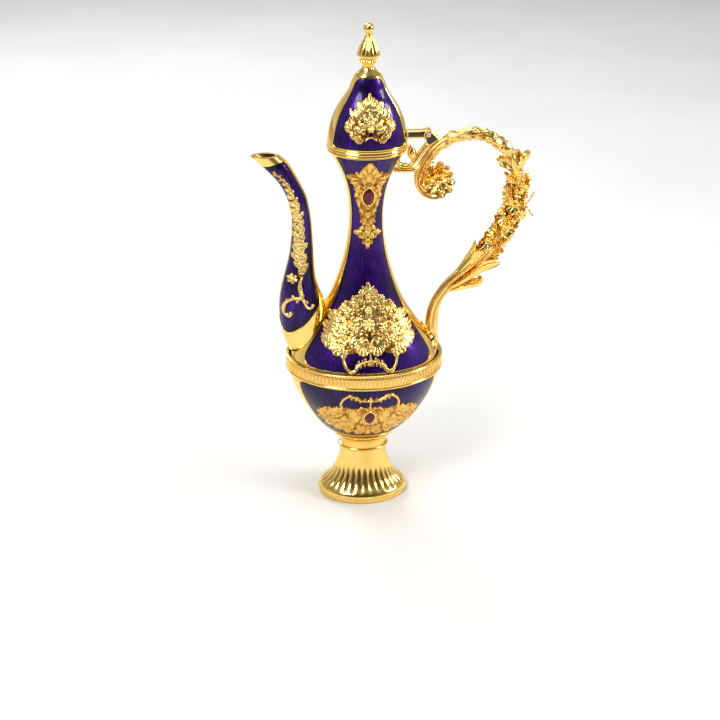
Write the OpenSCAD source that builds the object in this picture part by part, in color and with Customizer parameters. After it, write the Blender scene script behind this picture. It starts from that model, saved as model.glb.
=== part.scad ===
// Oval enamelled coffee pot on a pedestal foot, with a hinged lid, a swan-neck
// spout and a scrolled handle hung with leaves and flowers.
// +Z is up and Z = 0 is the surface the pot stands on. The spout points along -X,
// the handle along +X, and the front enamel panels face -Y. Millimetres.

/* [Body] */
// Half width of the body at the belt, spout side to handle side
belt_a = 50.5; // [42:0.5:61]
// Depth of every oval section as a share of its width
depth_ratio = 0.78; // [0.65:0.01:1]
// Height of the seam between the lower bowl and the shoulder
seam_z = 100; // [88:0.5:112]
// Thickness of the cast core wall
wall = 1.6; // [1.2:0.1:2.2]

/* [Neck] */
// Half width at the narrowest part of the neck
neck_a = 10.8; // [9:0.1:14]
// Half width at the top of the neck
mouth_a = 23.6; // [19.5:0.1:28.5]
// Height of the top of the neck
neck_top_z = 242.5; // [202:0.5:262]
// Share of the height from seam to neck top at which the neck is narrowest
neck_share = 0.71; // [0.66:0.01:0.76]

/* [Foot] */
// Half width of the foot where it stands
foot_a = 30; // [25:0.5:36]
// Half width of the foot at its waist
foot_waist_a = 15.5; // [12:0.5:18]
// Height of the foot up to the collar
foot_h = 44; // [36:0.5:52]
// Diameter of the stud that holds the foot
stud_d = 5; // [4:0.5:6]

/* [Skin] */
// Thickness of the enamel panels and of the gold bands between them
skin = 0.9; // [0.7:0.1:1.2]
// Half angle of each gold side band
band_angle = 26; // [20:1:32]
// How far the gold bands stand out past the enamel
proud = 0.2; // [0:0.05:0.3]
// Height of the gold relief over the enamel
relief = 1.3; // [0.8:0.1:1.8]
// Half width of the relief on the shoulder
shoulder_relief_w = 30; // [25:0.5:33]
// Height of the relief on the shoulder
shoulder_relief_h = 52; // [44:1:58]
// Half width of the relief on the neck
neck_relief_w = 13; // [9:0.5:13.5]
// Height of the relief on the neck
neck_relief_h = 57; // [48:1:62]
// Half width of the relief on the lid
lid_relief_w = 14.5; // [11:0.5:16]
// Height of the relief on the lid
lid_relief_h = 32; // [26:1:34]
// Half width of the relief on the lower bowl
bowl_relief_w = 27; // [20:0.5:30]
// Height of the relief on the lower bowl
bowl_relief_h = 37; // [28:1:39]

/* [Spout] */
// How far the spout tip reaches beyond the spout root
spout_reach = 33; // [27:0.5:40]
// Height of the spout from its root to its mouth
spout_h = 110; // [92:1:122]
// Height of the middle of the spout root on the shoulder
spout_root_z = 130.5; // [124:0.5:137]
// Thickness of the spout wall
spout_wall = 1.3; // [1:0.1:1.6]

/* [Handle] */
// How far the handle bows out
handle_reach = 55; // [45:1:66]
// Height of the handle foot on the shoulder
handle_foot_z = 120; // [114:0.5:126]
// Height of the handle's arch above the top of the neck
handle_rise = 9; // [4:0.5:14]
// Height of the arch and scroll, above the slender part of the handle
scroll_h = 42; // [36:0.5:50]
// Radius of the handle rod at the arch
rod_r = 4; // [3.3:0.1:4.6]
// Radius of the rosette at the end of the scroll
rosette_r = 11; // [8:0.5:13]

/* [Lid] */
// How far the lid's rim stands out beyond the mouth of the neck
rim_step = 1.4; // [0.8:0.1:2.4]
// Height of the lid from its rim to the neck of the finial
lid_h = 52; // [44:0.5:60]
// Height of the finial over the lid
finial_h = 25; // [20:0.5:30]
// Thickness of the lid wall
lid_wall = 1.4; // [1:0.1:2]
// Depth of the collar that drops into the neck
collar_h = 5.5; // [4:0.5:8]

/* [Hinge] */
// Distance of the hinge pin beyond the lid rim
hinge_gap = 12.5; // [11:0.5:15]
// Height of the hinge pin over the neck top
hinge_rise = 9.5; // [8:0.5:11]
// Diameter of the hinge pin
pin_d = 2.4; // [2:0.1:3]
// Width of the lid arm at the pin
arm_w = 4; // [3:0.5:5]
// Thickness of each hinge ear
ear_t = 1.6; // [1.2:0.1:2.2]

/* [Fits] */
// Gap between curved pieces that are joined in assembly
seat = 0.15; // [0.1:0.05:0.25]
// Gap between the lid and what it closes on
lid_gap = 0.3; // [0.2:0.05:0.5]
// Running clearance of the hinge pin, on the radius
pin_gap = 0.15; // [0.1:0.05:0.25]

/* [Hidden] */

gilt = "gold";
pale_gilt = "khaki";
violet = "indigo";
ruby = "darkred";
steel = "silver";
round_fn = 96;
small_fn = 48;
bloom_fn = 24;

// Catmull-Rom spline through the points of a list, s steps from each to the next.
function spline_at(p, i, t) =
    let (n = len(p) - 1, a = p[max(0, i - 1)], b = p[i], c = p[min(n, i + 1)], d = p[min(n, i + 2)])
    0.5 * ((2 * b) + (c - a) * t + (2 * a - 5 * b + 4 * c - d) * t * t
        + (3 * b - a - 3 * c + d) * t * t * t);
function smooth(p, s) =
    [for (i = [0 : len(p) - 2], j = [0 : s - 1]) spline_at(p, i, j / s), p[len(p) - 1]];
function mix(a, b, t) = a + (b - a) * t;
function reversed(p) = [for (i = [len(p) - 1 : -1 : 0]) p[i]];
function grow(p, d) = [for (q = p) [q[0] + d, q[1]]];

// Belt round the seam: its half height and how far it stands out.
belt_half = 5.1;
belt_out = 1.2;

// Outline of the shoulder and neck as [half width, height]. The first column is the
// share of the way in from belt to neck, the second the share of the way up.
neck_z = mix(seam_z, neck_top_z, neck_share);
shoulder_shape = [
    [0, 0], [0.035, 0.032], [0.115, 0.093], [0.215, 0.16], [0.34, 0.231], [0.475, 0.308],
    [0.6, 0.385], [0.71, 0.472], [0.805, 0.57], [0.885, 0.672], [0.95, 0.784], [0.99, 0.897], [1, 1]
];
neck_shape = [[0.028, 0.154], [0.11, 0.347], [0.3, 0.571], [0.61, 0.795], [1, 1]];
body_points = concat(
    [for (s = shoulder_shape) [mix(belt_a, neck_a, s[0]), mix(seam_z, neck_z, s[1])]],
    [for (s = neck_shape) [mix(neck_a, mouth_a, s[0]), mix(neck_z, neck_top_z, s[1])]]);
body_line = smooth(body_points, 2);

// Outline of the lower bowl, from its bottom up to the seam.
collar_top_z = foot_h + 4;
bowl_bottom_a = 18;
bowl_shape = [
    [0, 0], [0.16, 0.035], [0.36, 0.14], [0.54, 0.28], [0.71, 0.45], [0.86, 0.63],
    [0.955, 0.81], [1, 1]
];
bowl_line = smooth(
    [for (s = bowl_shape) [mix(bowl_bottom_a, belt_a, s[0]), mix(collar_top_z, seam_z, s[1])]], 2);

// Outline of the pedestal foot.
foot_shape = [
    [1, 0.07], [0.98, 0.12], [0.86, 0.17], [0.62, 0.24], [0.38, 0.34], [0.16, 0.5],
    [0.03, 0.68], [0, 0.82], [0.05, 0.93], [0.17, 1]
];
foot_line = concat([[foot_a, 0]],
    smooth([for (s = foot_shape) [mix(foot_waist_a, foot_a, s[0]), s[1] * foot_h]], 2));

// Outline of the lid, from its rim up to the neck of the finial.
neck_rim_h = 1.3;
lid_z = neck_top_z + neck_rim_h + lid_gap;
rim_h = 3.6;
lid_a = mouth_a + rim_step;
lid_shape = [
    [0.99, 0], [1, 0.06], [0.975, 0.17], [0.91, 0.31], [0.81, 0.44], [0.68, 0.555],
    [0.54, 0.655], [0.45, 0.73], [0.4, 0.8], [0.34, 0.86], [0.25, 0.93], [0.17, 1]
];
lid_line = smooth([for (s = lid_shape) [lid_a * s[0], lid_z + lid_h * s[1]]], 2);
cap_share = 0.86;
cap_z = lid_z + lid_h * cap_share;

// Half width of an outline at a height, and height at a half width of the shoulder.
function half_width(line, z) = lookup(z, [for (q = line) [q[1], q[0]]]);
shoulder_keys = [for (q = body_line) if (q[1] <= neck_z) [-q[0], q[1]]];
function shoulder_z(x, y) = lookup(-norm([x, y / depth_ratio]), shoulder_keys);
function clip(line, low, high) = concat(
    [[half_width(line, low), low]],
    [for (q = line) if (q[1] > low + 0.2 && q[1] < high - 0.2) q],
    [[half_width(line, high), high]]);

// Everything turned is made round and then pressed to the oval section.
module oval() {
    scale([1, depth_ratio, 1]) children();
}

// Turned in two halves that meet face to face, the one on the spout side second.
module half_turned(direction) {
    oval() rotate([0, 0, direction - 90]) rotate_extrude(angle = 180, $fn = round_fn) children();
}
module turned() {
    half_turned(0) children();
    half_turned(180) children();
}

// Skin between two offsets of an outline, inner < outer.
module skin_section(line, inner, outer) {
    polygon(concat(grow(line, inner), reversed(grow(line, outer))));
}

// A turned skin over part of the circle, centred on a direction.
module sector(line, inner, outer, direction, angle) {
    rotate([0, 0, direction - angle / 2])
        rotate_extrude(angle = angle, $fn = round_fn) skin_section(line, inner, outer);
}

panel_angle = 180 - 2 * band_angle - 1;
front = 270;
back = 90;
spout_side = 180;
handle_side = 0;

// Lobes are [x, z, radius] as shares of the half width w and the height h.
module lobed(lobes, w, h) {
    for (l = lobes, side = [-1, 1]) translate([side * l[0] * w, l[1] * h])
        circle(r = l[2] * w, $fn = small_fn);
}
// Relief: an outline seen from the front or back, laid on a turned skin.
module laid_on(line, inner, outer, z, facing, angle = panel_angle) {
    oval() intersection() {
        sector(line, inner, outer, facing, angle);
        translate([0, 0, z]) rotate([90, 0, facing == front ? 0 : 180])
            linear_extrude(height = belt_a + 10) children();
    }
}

/* The foot */

base_t = 1.4;
rim_ledge = 2.4;
module base_plate() {
    color(gilt) turned() square([foot_a - rim_ledge - seat, base_t]);
}

bridge_z = 0.42 * foot_h;
bridge_t = 2;
bridge_a = half_width(foot_line, bridge_z) - wall - 1;
module foot() {
    inner = grow(clip(foot_line, base_t + 4, bridge_z - 0.5), -wall - 1);
    bore_a = bridge_a - 2.2;
    color(gilt) oval() rotate_extrude($fn = round_fn) polygon(concat(
        foot_line,
        [[bowl_bottom_a - 6, foot_h], [bore_a, bridge_z + bridge_t]],
        [[bridge_a + seat, bridge_z + bridge_t], [bridge_a + seat, bridge_z]],
        reversed(inner),
        [[foot_a - rim_ledge - 1.4, base_t], [foot_a - rim_ledge, base_t], [foot_a - rim_ledge, 0]]));
}

module foot_collar() {
    knop_a = bowl_bottom_a + 1.6;
    color(gilt) turned() polygon([
        [bowl_bottom_a - 6, foot_h], [bowl_bottom_a - 1, foot_h], [knop_a - 0.6, foot_h + 0.6],
        [knop_a, foot_h + 2], [knop_a - 0.6, foot_h + 3.4], [bowl_bottom_a - 1, collar_top_z],
        [bowl_bottom_a - 6, collar_top_z]]);
}

module foot_stud() {
    color(steel) translate([0, 0, bridge_z - 7])
        cylinder(d = stud_d, h = collar_top_z - bridge_z + 7, $fn = small_fn);
}

module foot_bridge() {
    color(steel) difference() {
        translate([0, 0, bridge_z]) oval() cylinder(r = bridge_a, h = bridge_t, $fn = round_fn);
        translate([0, 0, bridge_z - 1]) cylinder(d = stud_d + 2 * seat, h = bridge_t + 2, $fn = small_fn);
    }
}

module foot_nut() {
    nut_h = 4;
    color(steel) translate([0, 0, bridge_z - nut_h]) difference() {
        cylinder(d = stud_d * 1.9, h = nut_h, $fn = 6);
        translate([0, 0, -1]) cylinder(d = stud_d + 2 * seat, h = nut_h + 2, $fn = small_fn);
    }
}

/* The body */

module lower_bowl() {
    floor_t = 2.4;
    outer = grow(bowl_line, -skin - seat);
    inner = grow(clip(bowl_line, collar_top_z + floor_t, seam_z), -skin - seat - wall);
    color(gilt) turned()
        polygon(concat([[0, collar_top_z]], outer, reversed(inner), [[0, collar_top_z + floor_t]]));
}

bowl_skin = clip(bowl_line, collar_top_z + 3, seam_z - belt_half - seat);
module lower_panel(direction) {
    color(violet) oval() sector(bowl_skin, -skin, 0, direction, panel_angle);
}
module lower_enamel_front() { lower_panel(front); }
module lower_enamel_back() { lower_panel(back); }

module lower_side_bands() {
    color(gilt) oval() for (direction = [spout_side, handle_side])
        sector(bowl_skin, -skin, proud, direction, 2 * band_angle);
}

// The belt has plain lips over and under a sunken key band.
module belt_band() {
    lip = 1.5;
    sunk = 0.6;
    out_a = belt_a + belt_out;
    low = seam_z - belt_half;
    high = seam_z + belt_half;
    color(gilt) turned() polygon([
        [belt_a - skin, low], [out_a - 0.5, low], [out_a, low + 0.5], [out_a, low + lip],
        [out_a - sunk, low + lip], [out_a - sunk, high - lip], [out_a, high - lip],
        [out_a, high - 0.5], [out_a - 0.5, high], [belt_a - skin, high]]);
}

// Port through the shoulder wall, under the spout.
port_r = 6.5;
spout_root_x = -half_width(body_line, spout_root_z) - 6;
module spout_port() {
    translate([spout_root_x, 0, spout_root_z]) rotate([0, -45, 0])
        cylinder(r = port_r, h = 24, center = true, $fn = small_fn);
}

module upper_body() {
    line = clip(body_line, seam_z, neck_top_z);
    color(gilt) oval() difference() {
        rotate_extrude($fn = round_fn) skin_section(line, -skin - seat - wall, -skin - seat);
        spout_port();
    }
}

panel_low = seam_z + belt_half + seat;
panel_high = neck_top_z - seat;
body_skin = clip(body_line, panel_low, panel_high);
module body_panel(direction) {
    color(violet) oval() sector(body_skin, -skin, 0, direction, panel_angle);
}
module body_enamel_front() { body_panel(front); }
module body_enamel_back() { body_panel(back); }

module side_band_handle() {
    color(gilt) oval() sector(body_skin, -skin, proud, handle_side, 2 * band_angle);
}
module side_band_spout() {
    color(gilt) oval() difference() {
        sector(body_skin, -skin, proud, spout_side, 2 * band_angle);
        spout_port();
    }
}

mouth_in = mouth_a - skin - seat - wall;
module neck_rim() {
    rim_a = lid_a - 0.4;
    color(gilt) turned() polygon([
        [mouth_in, neck_top_z], [mouth_a, neck_top_z], [rim_a, neck_top_z + 0.3 * neck_rim_h],
        [rim_a, neck_top_z + 0.8 * neck_rim_h], [rim_a - 0.3, neck_top_z + neck_rim_h],
        [mouth_in, neck_top_z + neck_rim_h]]);
}

/* Relief and gems */

shoulder_lobes = [
    [0, 0.94, 0.06], [0, 0.87, 0.11], [0.14, 0.79, 0.13], [0.33, 0.72, 0.14], [0.15, 0.62, 0.3],
    [0.56, 0.62, 0.16], [0.76, 0.52, 0.16], [0.83, 0.4, 0.17], [0.72, 0.28, 0.17], [0, 0.45, 0.5],
    [0.5, 0.42, 0.35], [0.5, 0.15, 0.13], [0.4, 0.06, 0.09], [0.18, 0.11, 0.12]
];
shoulder_relief_z = seam_z + belt_half + 1.6;
module shoulder_relief(facing) {
    color(pale_gilt) laid_on(clip(body_line, panel_low, neck_z),
        proud + seat, relief, shoulder_relief_z, facing)
        lobed(shoulder_lobes, shoulder_relief_w, shoulder_relief_h);
}
module shoulder_relief_front() { shoulder_relief(front); }
module shoulder_relief_back() { shoulder_relief(back); }

neck_lobes = [
    [0, 0.96, 0.16], [0.25, 0.88, 0.26], [0.62, 0.84, 0.3], [0.75, 0.78, 0.24], [0.36, 0.72, 0.34],
    [0.2, 0.64, 0.36], [0.2, 0.54, 0.3], [0.1, 0.46, 0.26], [0.08, 0.37, 0.24], [0.42, 0.24, 0.22],
    [0.12, 0.25, 0.28], [0, 0.13, 0.26], [0, 0.05, 0.12]
];
gem_share = 0.62;
neck_relief_z = neck_top_z - 2.5 - neck_relief_h;
shoulder_relief_top = shoulder_relief_z + shoulder_relief_h + 1;
module neck_relief(facing) {
    color(gilt) laid_on(clip(body_line, max(neck_relief_z - 2, shoulder_relief_top), panel_high),
        proud + seat, relief, neck_relief_z, facing)
        lobed(neck_lobes, neck_relief_w, neck_relief_h);
}
module neck_relief_front() { neck_relief(front); }
module neck_relief_back() { neck_relief(back); }

bowl_lobes = [
    [0, 0.84, 0.3], [0.4, 0.86, 0.2], [0.72, 0.78, 0.16], [0.86, 0.62, 0.14], [0.66, 0.55, 0.22],
    [0.35, 0.55, 0.35], [0, 0.5, 0.4], [0.36, 0.34, 0.22], [0, 0.22, 0.26], [0, 0.08, 0.13]
];
bowl_relief_z = seam_z - belt_half - 1.6 - bowl_relief_h;
module bowl_relief(facing) {
    color(pale_gilt) laid_on(clip(bowl_line, bowl_relief_z - 3, seam_z - belt_half - 0.5),
        proud + seat, relief, bowl_relief_z, facing)
        lobed(bowl_lobes, bowl_relief_w, bowl_relief_h);
}
module bowl_relief_front() { bowl_relief(front); }
module bowl_relief_back() { bowl_relief(back); }

// Pointed oval, as wide as 2 w and as tall as 2 h.
module marquise(w, h) {
    arc_r = (h * h + w * w) / (2 * w);
    intersection() {
        translate([arc_r - w, 0]) circle(r = arc_r, $fn = round_fn);
        translate([w - arc_r, 0]) circle(r = arc_r, $fn = round_fn);
    }
}
gem_w = 3;
gem_h = 5.6;
bezel = 0.9;
gem_z = neck_relief_z + gem_share * neck_relief_h;
bowl_gem_z = bowl_relief_z + 0.46 * bowl_relief_h;
gem_out = 1.5;
module gem_bezels() {
    color(gilt) for (facing = [front, back]) {
        laid_on(clip(body_line, gem_z - 9, gem_z + 9), relief + seat, relief + gem_out, gem_z, facing)
            difference() {
                marquise(gem_w + bezel, gem_h + 1.5 * bezel);
                marquise(gem_w, gem_h);
            }
        laid_on(clip(bowl_line, bowl_gem_z - 9, bowl_gem_z + 9), relief + seat, relief + gem_out,
            bowl_gem_z, facing)
            difference() {
                marquise(gem_w + bezel, gem_h + 1.5 * bezel);
                marquise(gem_w, gem_h);
            }
    }
}
module gems() {
    color(ruby) for (facing = [front, back]) {
        laid_on(clip(body_line, gem_z - 9, gem_z + 9), relief + seat, relief + gem_out + 0.7, gem_z, facing)
            marquise(gem_w - seat, gem_h - 2 * seat);
        laid_on(clip(bowl_line, bowl_gem_z - 9, bowl_gem_z + 9), relief + seat, relief + gem_out + 0.7,
            bowl_gem_z, facing)
            marquise(gem_w - seat, gem_h - 2 * seat);
    }
}

/* Lofts */

// Faces that close a ring of n points across from side to side.
function cap_faces(n, first) = [for (i = [0 : n / 2 - 2]) each [
    [first + i, first + i + 1, first + n - 1 - i],
    [first + i + 1, first + n - 2 - i, first + n - 1 - i]]];
function flipped(faces) = [for (f = faces) reversed(f)];

// Solid through closed rings of equal, even length.
module loft(rings) {
    n = len(rings[0]);
    last = len(rings) - 1;
    polyhedron(
        points = [for (r = rings) each r],
        faces = concat(
            cap_faces(n, 0),
            [for (j = [0 : last - 1], i = [0 : n - 1])
                let (k = (i + 1) % n) each [
                    [j * n + i, (j + 1) * n + i, (j + 1) * n + k],
                    [j * n + i, (j + 1) * n + k, j * n + k]]],
            flipped(cap_faces(n, last * n))),
        convexity = 8);
}

// Tube through rings: an outer wall, an inner wall and a lip at each end.
module tube_loft(outer, inner) {
    n = len(outer[0]);
    last = len(outer) - 1;
    m = n * (last + 1);
    polyhedron(
        points = concat([for (r = outer) each r], [for (r = inner) each r]),
        faces = concat(
            [for (j = [0 : last - 1], i = [0 : n - 1])
                let (k = (i + 1) % n) each [
                    [j * n + i, (j + 1) * n + i, (j + 1) * n + k],
                    [j * n + i, (j + 1) * n + k, j * n + k],
                    [m + j * n + i, m + (j + 1) * n + k, m + (j + 1) * n + i],
                    [m + j * n + i, m + j * n + k, m + (j + 1) * n + k]]],
            [for (i = [0 : n - 1])
                let (k = (i + 1) % n) each [
                    [i, k, m + k], [i, m + k, m + i],
                    [last * n + k, last * n + i, m + last * n + i],
                    [last * n + k, m + last * n + i, m + last * n + k]]]),
        convexity = 8);
}

/* The spout */

// Stations up the spout, each from its outer edge to its inner edge: outer x and z,
// inner x and z, half depth. Lengths out are shares of the reach and up of the height.
spout_stations = [
    [0.26, -0.235, -0.345, 0.09, 12], [0.42, -0.15, -0.33, 0.112, 12.4],
    [0.485, -0.065, -0.315, 0.135, 12],
    [0.53, 0.045, -0.25, 0.19, 11], [0.52, 0.14, -0.19, 0.25, 9.8],
    [0.47, 0.225, -0.165, 0.31, 8.6], [0.4, 0.31, -0.15, 0.375, 7.7],
    [0.33, 0.4, -0.14, 0.45, 7.2], [0.29, 0.49, -0.125, 0.525, 6.8],
    [0.27, 0.58, -0.105, 0.605, 6.5], [0.29, 0.67, -0.065, 0.685, 6.3],
    [0.365, 0.75, 0.01, 0.768, 6.2], [0.51, 0.835, 0.175, 0.87, 6.1],
    [0.725, 0.91, 0.34, 0.955, 6], [1.03, 1, 0.5, 1, 5.9]
];
spout_line = smooth(spout_stations, 2);
spout_sides = 24;

// A point of a spout ring: angle 0 is the inner edge, 90 the front, 180 the outer edge.
// The depth below the outer surface is sink, which may be negative.
function spout_point(s, angle, sink) =
    let (
        outer = [spout_root_x - s[0] * spout_reach, spout_root_z + s[1] * spout_h],
        inner = [spout_root_x - s[2] * spout_reach, spout_root_z + s[3] * spout_h],
        middle = (outer + inner) / 2,
        half = (inner - outer) / 2,
        across = half * (1 - sink / norm(half)) * cos(angle)
    )
    [middle[0] + across[0], -(s[4] - sink) * sin(angle), middle[1] + across[1]];
// The foot of the spout follows the shoulder, and the rings next to it stay clear of it.
root_rings = 6;
root_gap = 0.45;
function spout_ring(i, angles, sink) =
    [for (a = angles)
        let (p = spout_point(spout_line[i], a, sink), rest = shoulder_z(p[0], p[1]) + root_gap)
        i == 0 || (i <= root_rings && p[2] < rest) ? [p[0], p[1], rest] : p];
full_turn = [for (i = [0 : spout_sides - 1]) i * 360 / spout_sides];
spout_last = len(spout_line) - 1;
lip_ring = spout_last - 1;
enamel_ring = 4;

module spout() {
    color(gilt) tube_loft(
        [for (i = [0 : spout_last]) spout_ring(i, full_turn, skin + seat)],
        [for (i = [0 : spout_last]) spout_ring(i, full_turn, skin + seat + spout_wall)]);
}

// Strip of the spout's skin between two angles, from one ring to another.
module spout_strip(from, to, low_angle, high_angle, steps, sink, thick) {
    angles = [for (i = [0 : steps]) mix(low_angle, high_angle, i / steps)];
    loft([for (i = [from : to])
        concat(spout_ring(i, angles, sink), reversed(spout_ring(i, angles, sink + thick)))]);
}
edge_angle = 30;
seam_angle = 6;
module spout_panel(low_angle, high_angle) {
    color(violet) spout_strip(enamel_ring, lip_ring, low_angle, high_angle, 9, 0, skin);
}
module spout_enamel_front() { spout_panel(edge_angle + 1, 179 - seam_angle); }
module spout_enamel_back() { spout_panel(181 + seam_angle, 359 - edge_angle); }
module spout_edges() {
    color(gilt) {
        spout_strip(0, lip_ring, -edge_angle, edge_angle, 4, -proud, skin + proud);
        spout_strip(0, lip_ring, 180 - seam_angle, 180 + seam_angle, 2, -proud, skin + proud);
    }
}
module spout_lip() {
    color(gilt) tube_loft(
        [for (i = [lip_ring : spout_last]) spout_ring(i, full_turn, -proud - 0.1)],
        [for (i = [lip_ring : spout_last]) spout_ring(i, full_turn, skin)]);
}

// Vine of relief up the front of the spout: half width in degrees at each ring.
function vine_half(i) = 12 + 9 * sin(i * 97) + 8 * (i < 8 ? (8 - i) / 8 : 0);
vine_from = 6;
vine_to = lip_ring - 2;
module spout_vine(middle) {
    color(pale_gilt) loft([for (i = [vine_from : vine_to])
        let (
            half = vine_half(i),
            angles = [for (j = [0 : 4]) middle - half + half * j / 2]
        )
        concat(spout_ring(i, angles, -1), reversed(spout_ring(i, angles, -seat)))]);
}
module spout_vine_front() { spout_vine(90); }
module spout_vine_back() { spout_vine(270); }

/* The handle */

hinge_x = lid_a + hinge_gap;
hinge_z = neck_top_z + hinge_rise;
handle_foot_x = half_width(body_line, handle_foot_z);
handle_top_z = neck_top_z + handle_rise;

// Stations along the handle: share of the way up, share of the bow, radius as a share
// of the rod's. The last ones coil into the scroll.
handle_stations = [
    [0.049, 0.029, 1.1], [0.111, 0.072, 0.95], [0.172, 0.151, 0.92], [0.22, 0.27, 0.98],
    [0.281, 0.428, 1.1], [0.348, 0.595, 1.2], [0.413, 0.738, 1.15], [0.479, 0.87, 1.05],
    [0.545, 0.96, 1], [0.62, 1.02, 1], [0.697, 1.045, 1], [0.773, 1.05, 1.05],
    [0.834, 1.03, 1.1], [0.886, 0.965, 1.08], [0.932, 0.868, 1.05], [0.975, 0.718, 1],
    [1, 0.522, 1], [0.984, 0.304, 0.98], [0.954, 0.167, 0.95], [0.921, 0.075, 0.92],
    [0.883, 0.005, 0.9], [0.84, -0.055, 0.88], [0.795, -0.093, 0.86], [0.745, -0.079, 0.8],
    [0.704, -0.002, 0.72], [0.689, 0.113, 0.62], [0.711, 0.215, 0.54], [0.75, 0.24, 0.48],
    [0.779, 0.185, 0.42]
];
scroll_share = 0.68;
function handle_height(t) = t < scroll_share
    ? mix(handle_foot_z, handle_top_z - scroll_h, t / scroll_share)
    : mix(handle_top_z - scroll_h, handle_top_z, (t - scroll_share) / (1 - scroll_share));
function handle_place(s) = [
    mix(handle_foot_x, hinge_x, s[0]) + s[1] * handle_reach,
    handle_height(s[0]),
    s[2] * rod_r];
handle_line = smooth([for (s = handle_stations) handle_place(s)], 2);
handle_last = len(handle_line) - 1;
rod_sides = 12;

// Direction of travel of the handle at a station, in the XZ plane.
function heading(i) =
    let (
        a = handle_line[max(0, i - 1)],
        b = handle_line[min(handle_last, i + 1)],
        d = [b[0] - a[0], b[1] - a[1]]
    )
    d / norm(d);
function rod_ring(i, r) =
    let (s = handle_line[i], d = heading(i))
    [for (j = [0 : rod_sides - 1])
        let (a = j * 360 / rod_sides)
        [s[0] + r * cos(a) * d[1], -r * sin(a), s[1] - r * cos(a) * d[0]]];
// The bottom ring lies on the shoulder and spreads like the foot of a stem.
function foot_ring() =
    let (s = handle_line[0], r = s[2] * 1.25)
    [for (j = [0 : rod_sides - 1])
        let (a = j * 360 / rod_sides)
        [s[0] + r * cos(a), -r * sin(a), shoulder_z(s[0] + r * cos(a), 0) + 0.6]];
module handle() {
    color(gilt) loft(concat(
        [foot_ring()],
        [for (i = [0 : handle_last]) rod_ring(i, handle_line[i][2])]));
}

// A leaf blade that springs from the rod at station i, on the side given by turn (1 is
// outside the bow and -1 inside), runs along it for length and curls out by lift.
module leaf(i, turn, way, length, lift, half, y) {
    s = handle_line[i];
    d = heading(i) * way;
    out = [heading(i)[1], -heading(i)[0]] * turn;
    steps = 6;
    stand = s[2] + 1.4;
    loft([for (j = [0 : steps])
        let (
            t = j / steps,
            wide = half * (0.25 + 1.5 * sqrt(t) * (1 - t) + 0.08),
            thick = 0.9 * (1 - 0.55 * t),
            place = [s[0], s[1]] + d * length * t + out * (stand + lift * t * t)
        )
        [for (k = [0 : 7])
            let (a = k * 45)
            [
                place[0] + out[0] * thick * cos(a),
                y - way * turn * wide * sin(a),
                place[1] + out[1] * thick * cos(a)
            ]]]);
}
module handle_leaves() {
    color(gilt) {
        leaf(22, 1, 1, 14, 4, 4, 0);
        leaf(22, -1, 1, 13, 4, 4, 0);
        leaf(9, 1, 1, 16, 3.5, 4, 0);
        leaf(7, 1, 1, 12, 4.5, 3.4, 0);
        leaf(8, -1, 1, 16, 1.5, 4, 0);
    }
}

// A flower of five round petals about a bead, standing on its own back face.
module flower(r) {
    linear_extrude(height = 1.3) {
        circle(r = r * 0.5, $fn = small_fn);
        for (a = [0 : 72 : 359]) rotate(a) translate([r * 0.62, 0]) circle(r = r * 0.38, $fn = bloom_fn);
    }
    translate([0, 0, 1.3]) cylinder(r1 = r * 0.34, r2 = r * 0.18, h = 1, $fn = bloom_fn);
}
// Flowers sit round the rod, side after side, from one station to another.
flower_from = 12;
flower_to = 21;
flower_r = 5;
module handle_flowers() {
    color(gilt) for (i = [flower_from : flower_to]) {
        s = handle_line[i];
        d = heading(i);
        bearing = (i % 3) * 120 + (i % 2) * 30 - 60;
        translate([s[0], 0, s[1]]) rotate([0, atan2(d[0], d[1]), 0]) rotate([0, 0, bearing])
            rotate([0, 90, 0]) translate([0, 0, s[2] + 0.4]) flower(flower_r);
    }
}

// The rosette at the heart of the scroll, one each side, tiered and with a bead.
petal_count = 9;
rosette_at = handle_place([0.754, 0.119, 1]);
function petal_r(a, r) = r * (0.78 + 0.22 * abs(cos(a * petal_count / 2)));
module petals(r, h) {
    linear_extrude(height = h) polygon([for (a = [0 : 5 : 355]) petal_r(a, r) * [cos(a), sin(a)]]);
}
module handle_rosettes() {
    color(gilt) for (side = [-1, 1])
        translate([rosette_at[0], side * (rod_r * 0.9 + 0.3), rosette_at[1]]) rotate([side * -90, 0, 0]) {
            petals(rosette_r, 1.5);
            translate([0, 0, 1.5]) rotate(20) petals(rosette_r * 0.66, 1.2);
            translate([0, 0, 2.7])
                cylinder(r1 = rosette_r * 0.24, r2 = rosette_r * 0.12, h = 1.6, $fn = small_fn);
        }
}

// Three stamens that stand out of the flowers on the outside of the bow.
stamen_i = 18;
module flower_stamens() {
    s = handle_line[stamen_i];
    stem = 7.2;
    color(gilt) translate([s[0] + s[2] + 0.3, 0, s[1] - 1]) {
        rotate([0, 90, 0]) cylinder(r = 0.6, h = stem + 0.4, $fn = bloom_fn);
        translate([stem, 0, 0]) rotate([0, 18, 0]) cylinder(r = 0.45, h = 9.5, $fn = bloom_fn);
        translate([stem, 0, 0]) rotate([0, 162, 0]) cylinder(r = 0.45, h = 8.5, $fn = bloom_fn);
    }
}

/* The strap and the hinge */

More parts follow.
